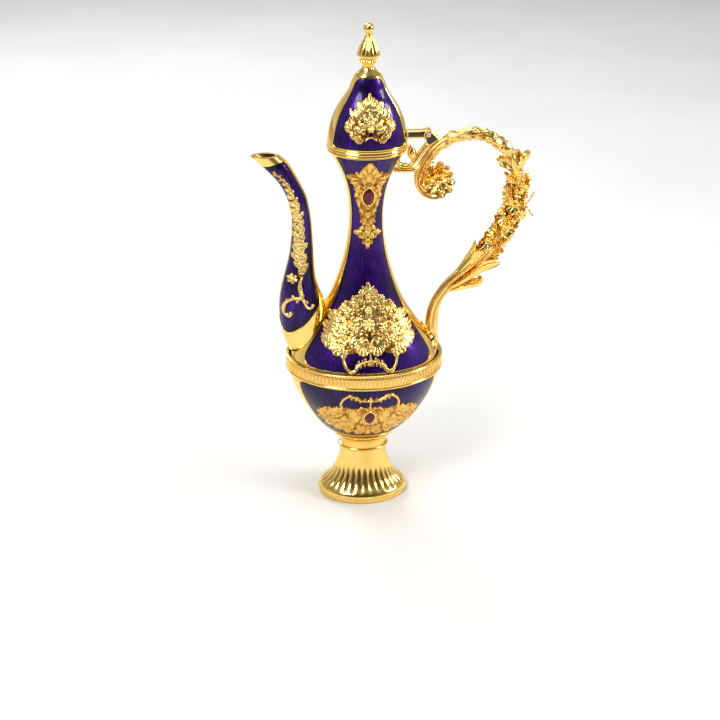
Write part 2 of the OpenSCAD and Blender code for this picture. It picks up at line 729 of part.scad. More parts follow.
// The strap leaves the handle band of the neck, dips and rises to the scroll.
strap_r = 1.7;
strap_flat = 1.5;
strap_shape = [[0, 0], [0.14, -0.16], [0.4, -0.28], [0.7, -0.1], [0.88, 0.32], [1, 0.78]];
strap_from = [half_width(body_line, neck_top_z - 9 + strap_r) + proud + 0.2, neck_top_z - 9];
strap_to = [handle_place([0.94, 0.051, 1])[0] - rod_r - 2.6, neck_top_z + 1.6];
function strap_point(s) =
    [mix(strap_from[0], strap_to[0], s[0]), mix(strap_from[1], strap_to[1], s[1])];
module neck_strap() {
    line = smooth([for (s = strap_shape) strap_point(s)], 2);
    n = len(line) - 1;
    color(gilt) loft([for (i = [0 : n])
        let (
            a = line[max(0, i - 1)],
            b = line[min(n, i + 1)],
            d = (b - a) / norm(b - a)
        )
        [for (j = [0 : 11])
            let (t = j * 30)
            [
                line[i][0] + strap_r * cos(t) * d[1],
                -strap_flat * strap_r * sin(t),
                line[i][1] - strap_r * cos(t) * d[0]
            ]]]);
}

// The bead nests in the crook of the strap.
bead_r = 2.6;
bead_at = strap_point(strap_shape[4]) + [-3.4, 3];
module strap_bead() {
    color(gilt) translate([bead_at[0], 0, bead_at[1]]) sphere(r = bead_r, $fn = small_fn);
}

ear_r = pin_d / 2 + 1.6;
ear_gap = 0.3;
module hinge_ears() {
    near = handle_place([0.945, 0.16, 1]);
    root = [near[0] - hinge_x, near[1] - hinge_z];
    color(gilt) for (side = [-1, 1])
        translate([hinge_x, side * (arm_w / 2 + ear_gap + ear_t / 2), hinge_z]) rotate([90, 0, 0])
            linear_extrude(height = ear_t, center = true) difference() {
                union() {
                    circle(r = ear_r, $fn = small_fn);
                    polygon([
                        [0, ear_r], [ear_r, 0.4], [root[0] - 1, root[1] + rod_r + 1],
                        [root[0] - rod_r - 1, root[1] + 1.5], [-ear_r * 0.7, -ear_r * 0.7]]);
                }
                circle(d = pin_d, $fn = small_fn);
            }
}

module hinge_pin() {
    length = arm_w + 2 * (ear_gap + ear_t);
    color(steel) translate([hinge_x, 0, hinge_z]) rotate([90, 0, 0]) {
        cylinder(d = pin_d, h = length, center = true, $fn = small_fn);
        for (side = [-1, 1]) translate([0, 0, side * (length / 2 + 0.4)])
            cylinder(d = pin_d + 1, h = 0.8, center = true, $fn = small_fn);
    }
}

/* The lid */

finial_stud_d = 4;
// The stud's hole, wide enough for the round stud once it is pressed to the oval.
stud_bore = finial_stud_d / 2 / depth_ratio + seat;

lid_skin = clip(lid_line, lid_z + rim_h, cap_z);
module lid_shell() {
    top_z = lid_z + lid_h * 0.9;
    line = clip(lid_line, lid_z + rim_h, top_z);
    inner = [for (q = reversed(line)) if (q[1] <= top_z - lid_wall) q + [-skin - seat - lid_wall, 0]];
    color(gilt) oval() rotate_extrude($fn = round_fn) polygon(concat(
        grow(line, -skin - seat), [[stud_bore, top_z], [stud_bore, top_z - lid_wall]], inner));
}

module lid_panel(direction) {
    color(violet) oval() sector(lid_skin, -skin, 0, direction, panel_angle);
}
module lid_enamel_front() { lid_panel(front); }
module lid_enamel_back() { lid_panel(back); }

module lid_side_bands() {
    color(gilt) oval() for (direction = [spout_side, handle_side])
        sector(lid_skin, -skin, proud, direction, 2 * band_angle);
}

rim_in = mouth_in;
module lid_rim() {
    color(gilt) turned() polygon([
        [rim_in, lid_z], [lid_a - 0.6, lid_z], [lid_a, lid_z + 0.6], [lid_a, lid_z + 1.5],
        [lid_a - 0.5, lid_z + 1.9], [lid_a + 0.1, lid_z + 2.4], [lid_a + 0.1, lid_z + rim_h],
        [rim_in, lid_z + rim_h]]);
}

collar_gap = 1;
module lid_collar() {
    // The end clears the narrowing neck.
    end_a = min(mouth_in - collar_gap - 1.6,
        half_width(body_line, lid_z - collar_h) - skin - seat - wall - lid_gap);
    color(gilt) turned() polygon([
        [end_a - 1, lid_z - collar_h], [end_a, lid_z - collar_h],
        [mouth_in - collar_gap, lid_z - 0.6], [mouth_in - collar_gap, lid_z],
        [rim_in - seat, lid_z], [rim_in - seat, lid_z + rim_h],
        [mouth_in - collar_gap - 1.6, lid_z + rim_h]]);
}

lid_lobes = [
    [0, 0.93, 0.1], [0, 0.84, 0.2], [0.3, 0.74, 0.22], [0.5, 0.62, 0.2], [0.86, 0.68, 0.09],
    [0.2, 0.55, 0.4], [0.66, 0.46, 0.24], [0.78, 0.34, 0.2], [0.52, 0.28, 0.24], [0.46, 0.12, 0.16],
    [0, 0.35, 0.26]
];
lid_relief_z = lid_z + rim_h + 1.8;
lid_relief_angle = 150;
module lid_relief(facing) {
    color(pale_gilt) laid_on(lid_skin, proud + seat, relief, lid_relief_z, facing, lid_relief_angle)
        lobed(lid_lobes, lid_relief_w, lid_relief_h);
}
module lid_relief_front() { lid_relief(front); }
module lid_relief_back() { lid_relief(back); }

module lid_cap() {
    line = clip(lid_line, cap_z + seat, lid_z + lid_h);
    crown_z = lid_z + lid_h * 0.9 + seat;
    skirt = reversed(grow(clip(lid_line, cap_z + seat, crown_z), -skin));
    color(gilt) turned() polygon(concat(
        grow(line, 0.3), [[stud_bore, lid_z + lid_h], [stud_bore, crown_z]], skirt));
}

module lid_arm() {
    low = lid_z + rim_h + 1.6;
    high = low + 4.4;
    color(gilt) difference() {
        rotate([90, 0, 0]) linear_extrude(height = arm_w, center = true) {
            polygon([
                [half_width(lid_line, low) + 0.4, low], [hinge_x, hinge_z - ear_r + 0.2],
                [hinge_x, hinge_z + ear_r - 0.2], [half_width(lid_line, high) + 0.45, high]]);
            translate([hinge_x, hinge_z]) circle(r = ear_r - 0.2, $fn = small_fn);
        }
        translate([hinge_x, 0, hinge_z]) rotate([90, 0, 0])
            cylinder(d = pin_d + 2 * pin_gap, h = arm_w + 2, center = true, $fn = small_fn);
    }
}

/* The finial */

finial_z = lid_z + lid_h;
// Outline of the finial as shares of its height and half widths.
finial_shape = [
    [4.6, 0], [4.9, 0.07], [4.1, 0.13], [4.6, 0.2], [6.2, 0.26], [6.7, 0.33], [6.1, 0.43],
    [4.6, 0.54], [3.1, 0.64], [2.1, 0.71], [1.8, 0.75]
];
ball_r = 3.2;
module finial() {
    line = smooth([for (s = finial_shape) [s[0], finial_z + s[1] * finial_h]], 2);
    color(gilt) {
        rotate_extrude($fn = small_fn)
            polygon(concat([[0, finial_z]], line, [[0, finial_z + 0.75 * finial_h]]));
        translate([0, 0, finial_z + finial_h - ball_r]) sphere(r = ball_r, $fn = small_fn);
        translate([0, 0, finial_z + 0.74 * finial_h]) cylinder(r = 1.8, h = 2.6, $fn = small_fn);
    }
}

module finial_stud() {
    color(steel) translate([0, 0, lid_z + lid_h * 0.72])
        cylinder(d = finial_stud_d, h = lid_h * 0.28, $fn = small_fn);
}

module finial_nut() {
    color(steel) translate([0, 0, lid_z + lid_h * 0.75]) difference() {
        cylinder(d = finial_stud_d * 1.9, h = 3, $fn = 6);
        translate([0, 0, -1]) cylinder(d = finial_stud_d + 2 * seat, h = 5, $fn = small_fn);
    }
}

base_plate();
foot();
foot_collar();
foot_stud();
foot_bridge();
foot_nut();
lower_bowl();
lower_enamel_front();
lower_enamel_back();
lower_side_bands();
belt_band();
upper_body();
body_enamel_front();
body_enamel_back();
side_band_spout();
side_band_handle();
neck_rim();
shoulder_relief_front();
shoulder_relief_back();
neck_relief_front();
neck_relief_back();
bowl_relief_front();
bowl_relief_back();
gem_bezels();
gems();
spout();
spout_enamel_front();
spout_enamel_back();
spout_edges();
spout_lip();
spout_vine_front();
spout_vine_back();
handle();
handle_leaves();
handle_flowers();
handle_rosettes();
flower_stamens();
neck_strap();
strap_bead();
hinge_ears();
hinge_pin();
lid_shell();
lid_enamel_front();
lid_enamel_back();
lid_side_bands();
lid_rim();
lid_collar();
lid_relief_front();
lid_relief_back();
lid_cap();
lid_arm();
finial();
finial_stud();
finial_nut();
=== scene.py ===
import bpy
import bmesh
import math
import numpy as np
from mathutils import Matrix, Vector


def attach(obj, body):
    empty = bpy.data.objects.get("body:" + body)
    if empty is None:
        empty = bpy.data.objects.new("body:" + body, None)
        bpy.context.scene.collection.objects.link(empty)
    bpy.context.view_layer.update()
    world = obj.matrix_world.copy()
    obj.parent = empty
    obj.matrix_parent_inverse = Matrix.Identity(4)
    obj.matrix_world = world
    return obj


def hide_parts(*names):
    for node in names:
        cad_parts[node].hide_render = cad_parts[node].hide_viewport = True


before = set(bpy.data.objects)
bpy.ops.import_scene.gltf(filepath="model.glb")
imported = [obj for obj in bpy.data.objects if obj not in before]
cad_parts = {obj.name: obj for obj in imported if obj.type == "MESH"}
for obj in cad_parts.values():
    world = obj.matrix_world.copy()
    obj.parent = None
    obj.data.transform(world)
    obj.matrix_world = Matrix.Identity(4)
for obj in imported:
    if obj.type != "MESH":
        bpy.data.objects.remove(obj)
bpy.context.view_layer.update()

# Shape tables are in millimetres, and meshes are made in metres.
mm = 0.001
tau = 2 * math.pi
up = math.pi / 2
pot = {
    "depth": 0.78,            # front to back, as a share of side to side
    "beltHalf": 50.5, "seam": 100.0,
    "neckHalf": 10.8, "mouthHalf": 23.6, "neckTop": 242.5, "neckShare": 0.71,
    "lidHalf": 25.0, "lidBase": 244.1, "lidHeight": 52.0,
    "bowlBottom": 18.0, "bowlBase": 48.0,
    "footHalf": 30.0, "waistHalf": 15.5, "footHeight": 44.0,
    "skin": 0.9,              # thickness of enamel and of the gold between
}
sides = ((-1, "front"), (1, "back"))


def mix(a, b, t):
    return a + (b - a) * t


def smoothStep(t):
    t = np.clip(t, 0, 1)
    return t * t * (3 - 2 * t)


def ringAngles(count):
    return np.linspace(0, tau, count, endpoint=False)


def splinePoints(points, steps=10):
    pts = np.array(points, float)
    last = len(pts) - 1
    t = (np.arange(steps) / steps)[:, None]
    rows = []
    for i in range(last):
        a, b, c, d = pts[max(0, i - 1)], pts[i], pts[i + 1], pts[min(last, i + 2)]
        rows.append(0.5 * (2 * b + (c - a) * t + (2 * a - 5 * b + 4 * c - d) * t ** 2
                           + (3 * b - a - 3 * c + d) * t ** 3))
    return np.vstack(rows + [pts[last:]])


# Outlines as [half width, height], lowest first, from shares of the span between two corners.
def shares(low, high, rows):
    return [(mix(low[0], high[0], a), mix(low[1], high[1], b)) for a, b in rows]


neckZ = mix(pot["seam"], pot["neckTop"], pot["neckShare"])
belly, waist = (pot["beltHalf"], pot["seam"]), (pot["neckHalf"], neckZ)
bodyLine = splinePoints(
    shares(belly, waist, [
        (0, 0), (0.035, 0.032), (0.115, 0.093), (0.215, 0.16), (0.34, 0.231), (0.475, 0.308), (0.6, 0.385),
        (0.71, 0.472), (0.805, 0.57), (0.885, 0.672), (0.95, 0.784), (0.99, 0.897), (1, 1)])
    + shares(waist, (pot["mouthHalf"], pot["neckTop"]), [
        (0.028, 0.154), (0.11, 0.347), (0.3, 0.571), (0.61, 0.795), (1, 1)]))
bowlLine = splinePoints(shares((pot["bowlBottom"], pot["bowlBase"]), belly, [
    (0, 0), (0.16, 0.035), (0.36, 0.14), (0.54, 0.28), (0.71, 0.45), (0.86, 0.63), (0.955, 0.81), (1, 1)]))
lidLine = splinePoints(shares((0, pot["lidBase"]), (pot["lidHalf"], pot["lidBase"] + pot["lidHeight"]), [
    (0.99, 0), (1, 0.06), (0.975, 0.17), (0.91, 0.31), (0.81, 0.44), (0.68, 0.555), (0.54, 0.655),
    (0.45, 0.73), (0.4, 0.8), (0.34, 0.86), (0.25, 0.93), (0.17, 1)]))


def radiusAt(line, z):
    return np.interp(z, line[:, 1], line[:, 0])


def slopeAt(line, z):
    return (radiusAt(line, z + 0.2) - radiusAt(line, z - 0.2)) / 0.4


def unit(v):
    return v / np.linalg.norm(v, axis=-1, keepdims=True)


# Points of a turned and pressed skin, lifted along its own normal.
def ovalPoints(line, angle, z, lift):
    angle, z, lift = np.broadcast_arrays(angle, z, lift)
    k = pot["depth"]
    r = radiusAt(line, z)
    c, s = np.cos(angle), np.sin(angle)
    n = unit(np.stack([c, s / k, -slopeAt(line, z)], -1))
    return np.stack([r * c, k * r * s, z], -1) + n * lift[..., None]


# Places plan points on a skin as they are seen from the front or the back.
def skinSurface(line, facing):
    def place(x, z, lift):
        angle = facing * np.arccos(np.clip(x / radiusAt(line, z), -0.995, 0.995))
        return ovalPoints(line, angle, z, lift)
    return place


# Meshes

# Faces point outwards; edges sharper than the angle stay sharp.
def finishMesh(mesh, smoothAngle, weld=False):
    bm = bmesh.new()
    bm.from_mesh(mesh)
    if weld:
        bmesh.ops.remove_doubles(bm, verts=bm.verts, dist=1e-6)
    bmesh.ops.recalc_face_normals(bm, faces=bm.faces)
    bm.to_mesh(mesh)
    bm.free()
    mesh.shade_smooth()
    if smoothAngle:
        mesh.set_sharp_from_angle(angle=math.radians(smoothAngle))


def looseObject(name, verts, faces=(), edges=()):
    mesh = bpy.data.meshes.new(name)
    mesh.from_pydata((np.asarray(verts, float) * mm).tolist(), list(edges), list(faces))
    return bpy.data.objects.new(name, mesh)


def linked(piece):
    bpy.context.scene.collection.objects.link(piece)
    return piece


def addMesh(name, verts, faces, smoothAngle=40, attributes=None):
    piece = linked(looseObject(name, verts, faces))
    for key, values in (attributes or {}).items():
        layer = piece.data.attributes.new(key, "FLOAT", "POINT")
        layer.data.foreach_set("value", np.asarray(values, np.float32))
    finishMesh(piece.data, smoothAngle)
    return piece


# Squares of a grid of vertex numbers; wrap joins the last column to the first.
def quadsOf(index, wrap=False):
    if wrap:
        index = np.hstack([index, index[:, :1]])
    a, b, c, d = index[:-1, :-1], index[:-1, 1:], index[1:, 1:], index[1:, :-1]
    return np.stack([a, b, c, d], -1).reshape(-1, 4)


# A closed solid between two grids of points. With wrap, the columns run right round.
def solidFromGrids(outer, inner, wrap=False):
    rows, cols = outer.shape[:2]
    count = rows * cols
    index = np.arange(count).reshape(rows, cols)
    if wrap:
        index = np.hstack([index, index[:, :1]])
    faces = [quadsOf(index), quadsOf(index)[:, ::-1] + count]
    edges = [index[0], index[-1][::-1]]
    if not wrap:
        edges += [index[:, -1], index[:, 0][::-1]]
    for e in edges:
        faces.append(np.stack([e[1:], e[:-1], e[:-1] + count, e[1:] + count], -1))
    return np.vstack([outer.reshape(-1, 3), inner.reshape(-1, 3)]), np.vstack(faces).tolist()


# A stack of rings of points, closed at both ends by one flat face.
def ringStack(rings):
    count, n = len(rings), len(rings[0])
    index = np.arange(count * n).reshape(count, n)
    faces = quadsOf(index, True).tolist()
    return np.vstack(rings), faces + [index[-1].tolist(), index[0][::-1].tolist()]


# A tube along a path, with a radius and an outline for each ring, closed at both ends.
def sweptTube(path, radii, count, up=(0, 1, 0), flat=1.0, ripple=0.0):
    path = np.asarray(path, float)
    rows = len(path)
    tangent = unit(np.gradient(path, axis=0))
    side = unit(np.cross(tangent, np.asarray(up, float)))
    over = np.cross(side, tangent)
    a = ringAngles(count)
    r = np.broadcast_to(np.asarray(radii, float).reshape(-1, 1), (rows, count)) + ripple
    pts = (path[:, None] + side[:, None] * (r * np.cos(a))[..., None]
           + over[:, None] * (flat * r * np.sin(a))[..., None])
    n = rows * count
    faces = quadsOf(np.arange(n).reshape(rows, count), True).tolist()
    for j in range(count):
        k = (j + 1) % count
        faces += [[n, j, k], [n + 1, n - count + k, n - count + j]]
    return np.vstack([pts.reshape(-1, 3), path[:1], path[-1:]]), faces


def ball(center, radius, squash=(1, 1, 1), detail=2):
    bm = bmesh.new()
    bmesh.ops.create_icosphere(bm, subdivisions=detail, radius=1)
    verts = np.array([v.co[:] for v in bm.verts]) * radius * np.array(squash) + np.array(center)
    faces = [[v.index for v in f.verts] for f in bm.faces]
    bm.free()
    return verts, faces


def joined(parts):
    verts, faces, shift = [], [], 0
    for v, f in parts:
        verts.append(v)
        faces += [[i + shift for i in face] for face in f]
        shift += len(v)
    return np.vstack(verts), faces


# Geometry Nodes

def nodeAdder(tree):
    def add(kind, links=None, **settings):
        node = tree.nodes.new(kind)
        for key, value in settings.items():
            setattr(node, key, value)
        for key, value in (links or {}).items():
            if isinstance(value, bpy.types.NodeSocket):
                tree.links.new(value, node.inputs[key])
            else:
                node.inputs[key].default_value = value
        return node
    return add


# Gives a tree with named inputs; build adds the nodes and returns the last geometry socket.
def nodeTree(name, inputs, build):
    tree = bpy.data.node_groups.new(name, "GeometryNodeTree")
    tree.interface.new_socket("Geometry", in_out="OUTPUT", socket_type="NodeSocketGeometry")
    for key, kind in {"Geometry": "Geometry", **inputs, "Material": "Material"}.items():
        tree.interface.new_socket(key, in_out="INPUT", socket_type="NodeSocket" + kind)
    add = nodeAdder(tree)
    given = add("NodeGroupInput").outputs
    realized = add("GeometryNodeRealizeInstances", {"Geometry": build(add, given)})
    painted = add("GeometryNodeSetMaterial",
                  {"Geometry": realized.outputs["Geometry"], "Material": given["Material"]})
    add("NodeGroupOutput", {"Geometry": painted.outputs["Geometry"]})
    return tree


# Runs a tree on an object and turns the result into a plain mesh object.
def runTree(piece, tree, values, name, smoothAngle=40):
    modifier = piece.modifiers.new("build", "NODES")
    modifier.node_group = tree
    for item in tree.interface.items_tree:
        if item.item_type == "SOCKET" and item.in_out == "INPUT" and item.name in values:
            modifier[item.identifier] = values[item.name]
    bpy.context.view_layer.update()
    depsgraph = bpy.context.evaluated_depsgraph_get()
    mesh = bpy.data.meshes.new_from_object(piece.evaluated_get(depsgraph))
    mesh.name = name
    piece.modifiers.remove(modifier)
    bpy.data.objects.remove(piece)
    finishMesh(mesh, smoothAngle, weld=True)
    return linked(bpy.data.objects.new(name, mesh))


# Round wire laid along lines of points.
def buildWire(add, given):
    curve = add("GeometryNodeMeshToCurve", {"Mesh": given["Geometry"]})
    circle = add("GeometryNodeCurvePrimitiveCircle",
                 {"Resolution": given["Sides"], "Radius": given["Radius"]})
    return add("GeometryNodeCurveToMesh", {
        "Curve": curve.outputs["Curve"], "Profile Curve": circle.outputs["Curve"],
        "Fill Caps": True}).outputs["Mesh"]


# One shape set at each point, turned and sized by the point's own attributes.
def buildScatter(add, given):
    info = add("GeometryNodeObjectInfo", {"Object": given["Shape"], "As Instance": True})
    turn = add("GeometryNodeInputNamedAttribute", {"Name": "turn"}, data_type="FLOAT_VECTOR")
    size = add("GeometryNodeInputNamedAttribute", {"Name": "size"}, data_type="FLOAT")
    points = add("GeometryNodeMeshToPoints", {"Mesh": given["Geometry"]})
    return add("GeometryNodeInstanceOnPoints", {
        "Points": points.outputs["Points"], "Instance": info.outputs["Geometry"],
        "Rotation": turn.outputs["Attribute"], "Scale": size.outputs["Attribute"]}).outputs["Instances"]


wireTree = nodeTree("wireAlongLines", {"Radius": "Float", "Sides": "Int"}, buildWire)
scatterTree = nodeTree("shapeAtPoints", {"Shape": "Object"}, buildScatter)


# Wire along loops of points; closed joins each loop's end to its start.
def wired(name, loops, radius, count, closed=True):
    edges, shift = [], 0
    for loop in loops:
        n = len(loop)
        edges += [(shift + i, shift + (i + 1) % n) for i in range(n if closed else n - 1)]
        shift += n
    line = linked(looseObject(name + "Line", np.vstack(loops), edges=edges))
    return runTree(line, wireTree, {"Radius": radius * mm, "Sides": count, "Material": goldPolished}, name)


def scattered(name, shape, places, turns, sizes, material, smoothAngle=40):
    points = linked(looseObject(name + "Points", places))
    turn = points.data.attributes.new("turn", "FLOAT_VECTOR", "POINT")
    turn.data.foreach_set("vector", np.asarray(turns, np.float32).ravel())
    size = points.data.attributes.new("size", "FLOAT", "POINT")
    size.data.foreach_set("value", np.asarray(sizes, np.float32))
    return runTree(points, scatterTree, {"Shape": shape, "Material": material}, name, smoothAngle)


# Turn that takes local Z to a direction, then spins about it.
def turnTo(direction, spin=0.0):
    q = Vector(direction).to_track_quat("Z", "Y")
    return tuple((q.to_matrix() @ Matrix.Rotation(spin, 3, "Z")).to_euler())


def finishPiece(piece, material, body, slotName, *replaced):
    if not piece.data.materials:
        piece.data.materials.append(material)
    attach(piece, body)
    if replaced:
        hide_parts(*replaced)


# Most pieces are polished gold.
def gild(piece, *replaced, body="pot"):
    finishPiece(piece, goldPolished, body, "polished_gilt", *replaced)


# Finishes

def newMaterial(name, **sockets):
    material = bpy.data.materials.new(name)
    material.use_nodes = True
    tree = material.node_tree
    shader = tree.nodes["Principled BSDF"]
    for key, value in sockets.items():
        shader.inputs[key.replace("_", " ")].default_value = value

    def feed(value, key):
        tree.links.new(value, shader.inputs[key])

    return material, nodeAdder(tree), feed


def stretchedNoise(add, stretch, scale, detail, rough=0.55):
    coord = add("ShaderNodeTexCoord")
    mapped = add("ShaderNodeMapping", {"Vector": coord.outputs["Object"], "Scale": stretch})
    return add("ShaderNodeTexNoise", {"Vector": mapped.outputs["Vector"], "Scale": scale,
                                      "Detail": detail, "Roughness": rough}).outputs["Fac"]


def ramp(add, fac, *stops):
    node = add("ShaderNodeValToRGB", {"Fac": fac})
    colours = node.color_ramp
    while len(colours.elements) < len(stops):
        colours.elements.new(0.5)
    for element, (place, colour) in zip(colours.elements, stops):
        element.position = place
        element.color = (*colour, 1)
    return node.outputs["Color"]


def mapRange(add, value, fromLow, fromHigh, toLow, toHigh):
    return add("ShaderNodeMapRange", {"Value": value, "From Min": fromLow, "From Max": fromHigh,
                                      "To Min": toLow, "To Max": toHigh}).outputs["Result"]


def multiply(add, a, b):
    node = add("ShaderNodeMix", {6: a, 7: b}, data_type="RGBA", blend_type="MULTIPLY")
    node.inputs["Factor"].default_value = 1.0
    return node.outputs[2]


def bumpFrom(add, height, strength, distance):
    bump = add("ShaderNodeBump", {"Height": height, "Strength": strength, "Distance": distance})
    return bump.outputs["Normal"]


# For each kind: two colours, roughness range, and depth and scale of the grain.
goldFinish = {
    "polished": {"light": (1.0, 0.69, 0.20), "dark": (0.78, 0.45, 0.08), "rough": (0.08, 0.20),
                 "grain": (0.05, 900)},
    "satin": {"light": (1.0, 0.69, 0.22), "dark": (0.76, 0.43, 0.09), "rough": (0.18, 0.34),
              "grain": (0.10, 1400)},
    "warm": {"light": (1.0, 0.68, 0.19), "dark": (0.74, 0.40, 0.07), "rough": (0.20, 0.36),
             "grain": (0.10, 1400)},
    "cast": {"light": (1.0, 0.74, 0.27), "dark": (0.42, 0.20, 0.03), "rough": (0.18, 0.38),
             "grain": (0.22, 1900)},
}


# Plated gold: slow colour drift, handling haze, fine grain. Cast gold gets painted shade in its hollows,
# darker where its surface sits lower.
def goldMaterial(name, kind, paintHollowShade=False):
    f = goldFinish[kind]
    depth, scale = f["grain"]
    material, add, feed = newMaterial(name, Metallic=1.0)
    drift = stretchedNoise(add, (1, 1, 1), 45, 3)
    haze = stretchedNoise(add, (1, 1, 0.4), 160, 5, 0.65)
    grain = stretchedNoise(add, (1, 1, 1), scale, 3, 0.6)
    mid = tuple(mix(x, y, 0.35) for x, y in zip(f["light"], f["dark"]))
    colour = ramp(add, drift, (0.25, mid), (0.6, f["light"]))
    if paintHollowShade:
        # Painted shade: the ramp darkens the gold where the surface sits low.
        rise = add("ShaderNodeAttribute", attribute_name="rise").outputs["Fac"]
        shade = ramp(add, rise, (0.0, (0.20, 0.09, 0.02)), (0.32, (0.62, 0.42, 0.22)), (0.7, (1, 1, 1)))
        colour = multiply(add, colour, shade)
    feed(colour, "Base Color")
    feed(mapRange(add, haze, 0.3, 0.7, *f["rough"]), "Roughness")
    feed(bumpFrom(add, grain, depth, 0.0002), "Normal")
    return material


# edge is the painted shade colour that the enamel takes along its border with the gold.
enamelFinish = {
    "deep": (0.004, 0.0006, 0.022), "violet": (0.032, 0.0026, 0.145), "bright": (0.130, 0.010, 0.50),
    "edge": (0.12, 0.10, 0.20), "streaks": (850, 850, 26), "clouds": (75, 75, 30), "ripples": (170, 170, 60),
}


# Clear violet enamel over hand-laid foil: fine upright streaks under a smooth glassy coat, with painted shade
# darkening it along the panel edges.
def enamelMaterial(name, brightness=1.0):
    f = enamelFinish
    material, add, feed = newMaterial(
        name, Metallic=0.6, Specular_IOR_Level=0.2, Coat_Weight=0.5, Coat_Roughness=0.02, Coat_IOR=1.4)
    streak = stretchedNoise(add, f["streaks"], 1.0, 5, 0.7)
    cloud = stretchedNoise(add, f["clouds"], 1.0, 3)
    body, lit = (tuple(brightness * c for c in f[key]) for key in ("violet", "bright"))
    colour = ramp(add, streak, (0.30, f["deep"]), (0.52, body), (0.74, lit))
    tone = ramp(add, cloud, (0.34, (0.16, 0.16, 0.22)), (0.50, (0.72, 0.70, 0.76)), (0.66, (1.0, 1.0, 1.0)))
    ripple = stretchedNoise(add, f["ripples"], 1.0, 2, 0.5)
    # Painted shade: the enamel darkens towards the edge of each panel.
    rim = add("ShaderNodeAttribute", attribute_name="inward").outputs["Fac"]
    edge = ramp(add, rim, (0.0, f["edge"]), (0.55, (0.72, 0.70, 0.80)), (1.0, (1, 1, 1)))
    feed(multiply(add, multiply(add, colour, tone), edge), "Base Color")
    feed(mapRange(add, streak, 0.3, 0.7, 0.42, 0.24), "Roughness")
    feed(bumpFrom(add, streak, 0.35, 0.0004), "Normal")
    feed(bumpFrom(add, ripple, 0.22, 0.0012), "Coat Normal")
    return material


# Two colours that follow one noise, and a roughness that does the same.
def mottledMaterial(name, noise, low, high, rough=None, **sockets):
    material, add, feed = newMaterial(name, **sockets)
    fac = stretchedNoise(add, *noise)
    feed(ramp(add, fac, low, high), "Base Color")
    if rough:
        feed(mapRange(add, fac, 0.3, 0.7, *rough), "Roughness")
    return material


goldPolished = goldMaterial("polishedGold", "polished")
goldSatin = goldMaterial("satinGold", "satin")
goldCast = goldMaterial("castGold", "cast", paintHollowShade=True)
goldWarmCast = goldMaterial("warmCastGold", "warm", paintHollowShade=True)
goldBark = goldMaterial("barkGold", "satin", paintHollowShade=True)
enamel = enamelMaterial("violetEnamel")
# A darker copy of the same enamel: painted shade for the lower bowl, which faces down under the belt.
enamelPaintedShade = enamelMaterial("violetEnamelPaintedShade", 0.6)
redStone = mottledMaterial(
    "redStone", ((1, 1, 1), 420, 3), (0.3, (0.03, 0.0, 0.005)), (0.7, (0.22, 0.003, 0.022)),
    Metallic=0.0, Roughness=0.06, Specular_IOR_Level=0.25, Coat_Weight=0.4, Coat_Roughness=0.02)
steel = mottledMaterial(
    "platedSteel", ((300, 300, 2600), 1.0, 3), (0.3, (0.50, 0.47, 0.42)), (0.7, (0.74, 0.71, 0.66)),
    (0.25, 0.42), Metallic=1.0)
# Near-black coated finish for the side panels of the lid arm and hinge cheeks: painted shade on those faces.
paintedShadeBlack = mottledMaterial(
    "paintedShadeBlack", ((1, 1, 3), 300, 3), (0.35, (0.002, 0.002, 0.002)), (0.75, (0.016, 0.019, 0.016)),
    (0.25, 0.4), Metallic=0.0, Coat_Weight=0.35, Coat_Roughness=0.08)
rosePin = mottledMaterial(
    "rosePin", ((1, 1, 1), 700, 3), (0.3, (0.52, 0.30, 0.18)), (0.7, (0.86, 0.60, 0.42)),
    (0.2, 0.36), Metallic=1.0)
palePaper = mottledMaterial(
    "palePaper", ((1, 1, 1), 6, 2), (0.3, (0.73, 0.73, 0.725)), (0.7, (0.77, 0.77, 0.765)), Roughness=0.75)
print("finishes made")


# Camera, lights and floor

shot = {"target": (-2.65, 0.32, 97.2), "camera": (-110.8, -880.5, 539.7), "lens": 75.0, "roll": 0.75}
lamps = [  # name, place, aim, size, power, colour
    ("keySoftbox", (-0.75, -0.85, 1.25), (0, 0, 0.18), 0.60, 13, (1.0, 0.98, 0.95)),
    ("sideStrip", (1.15, -0.35, 0.75), (0, 0, 0.18), 0.40, 8, (1.0, 0.98, 0.96)),
    ("backStrip", (-0.35, 1.15, 0.95), (0, 0, 0.20), 0.55, 8, (0.98, 0.99, 1.0)),
    ("topSoftbox", (0.15, 0.0, 1.7), (0, 0, 0.15), 1.0, 10, (1.0, 1.0, 1.0)),
]
room = {
    "strength": 0.85, "tint": (1, 0.985, 0.97),
    "tones": [(0.0, 0.95), (0.42, 0.55), (0.58, 0.35), (0.72, 0.5), (1.0, 1.0)],   # horizon to zenith
    "front": (-1.0, -0.15, 0.06, 1.0),   # the span of Y where it brightens, and its share at both ends
}


def aimed(name, data, place, target, roll=0.0):
    piece = linked(bpy.data.objects.new(name, data))
    piece.location = place
    aim = (Vector(target) - Vector(place)).to_track_quat("-Z", "Y")
    piece.rotation_euler = (aim.to_matrix() @ Matrix.Rotation(math.radians(roll), 3, "Z")).to_euler()
    return piece


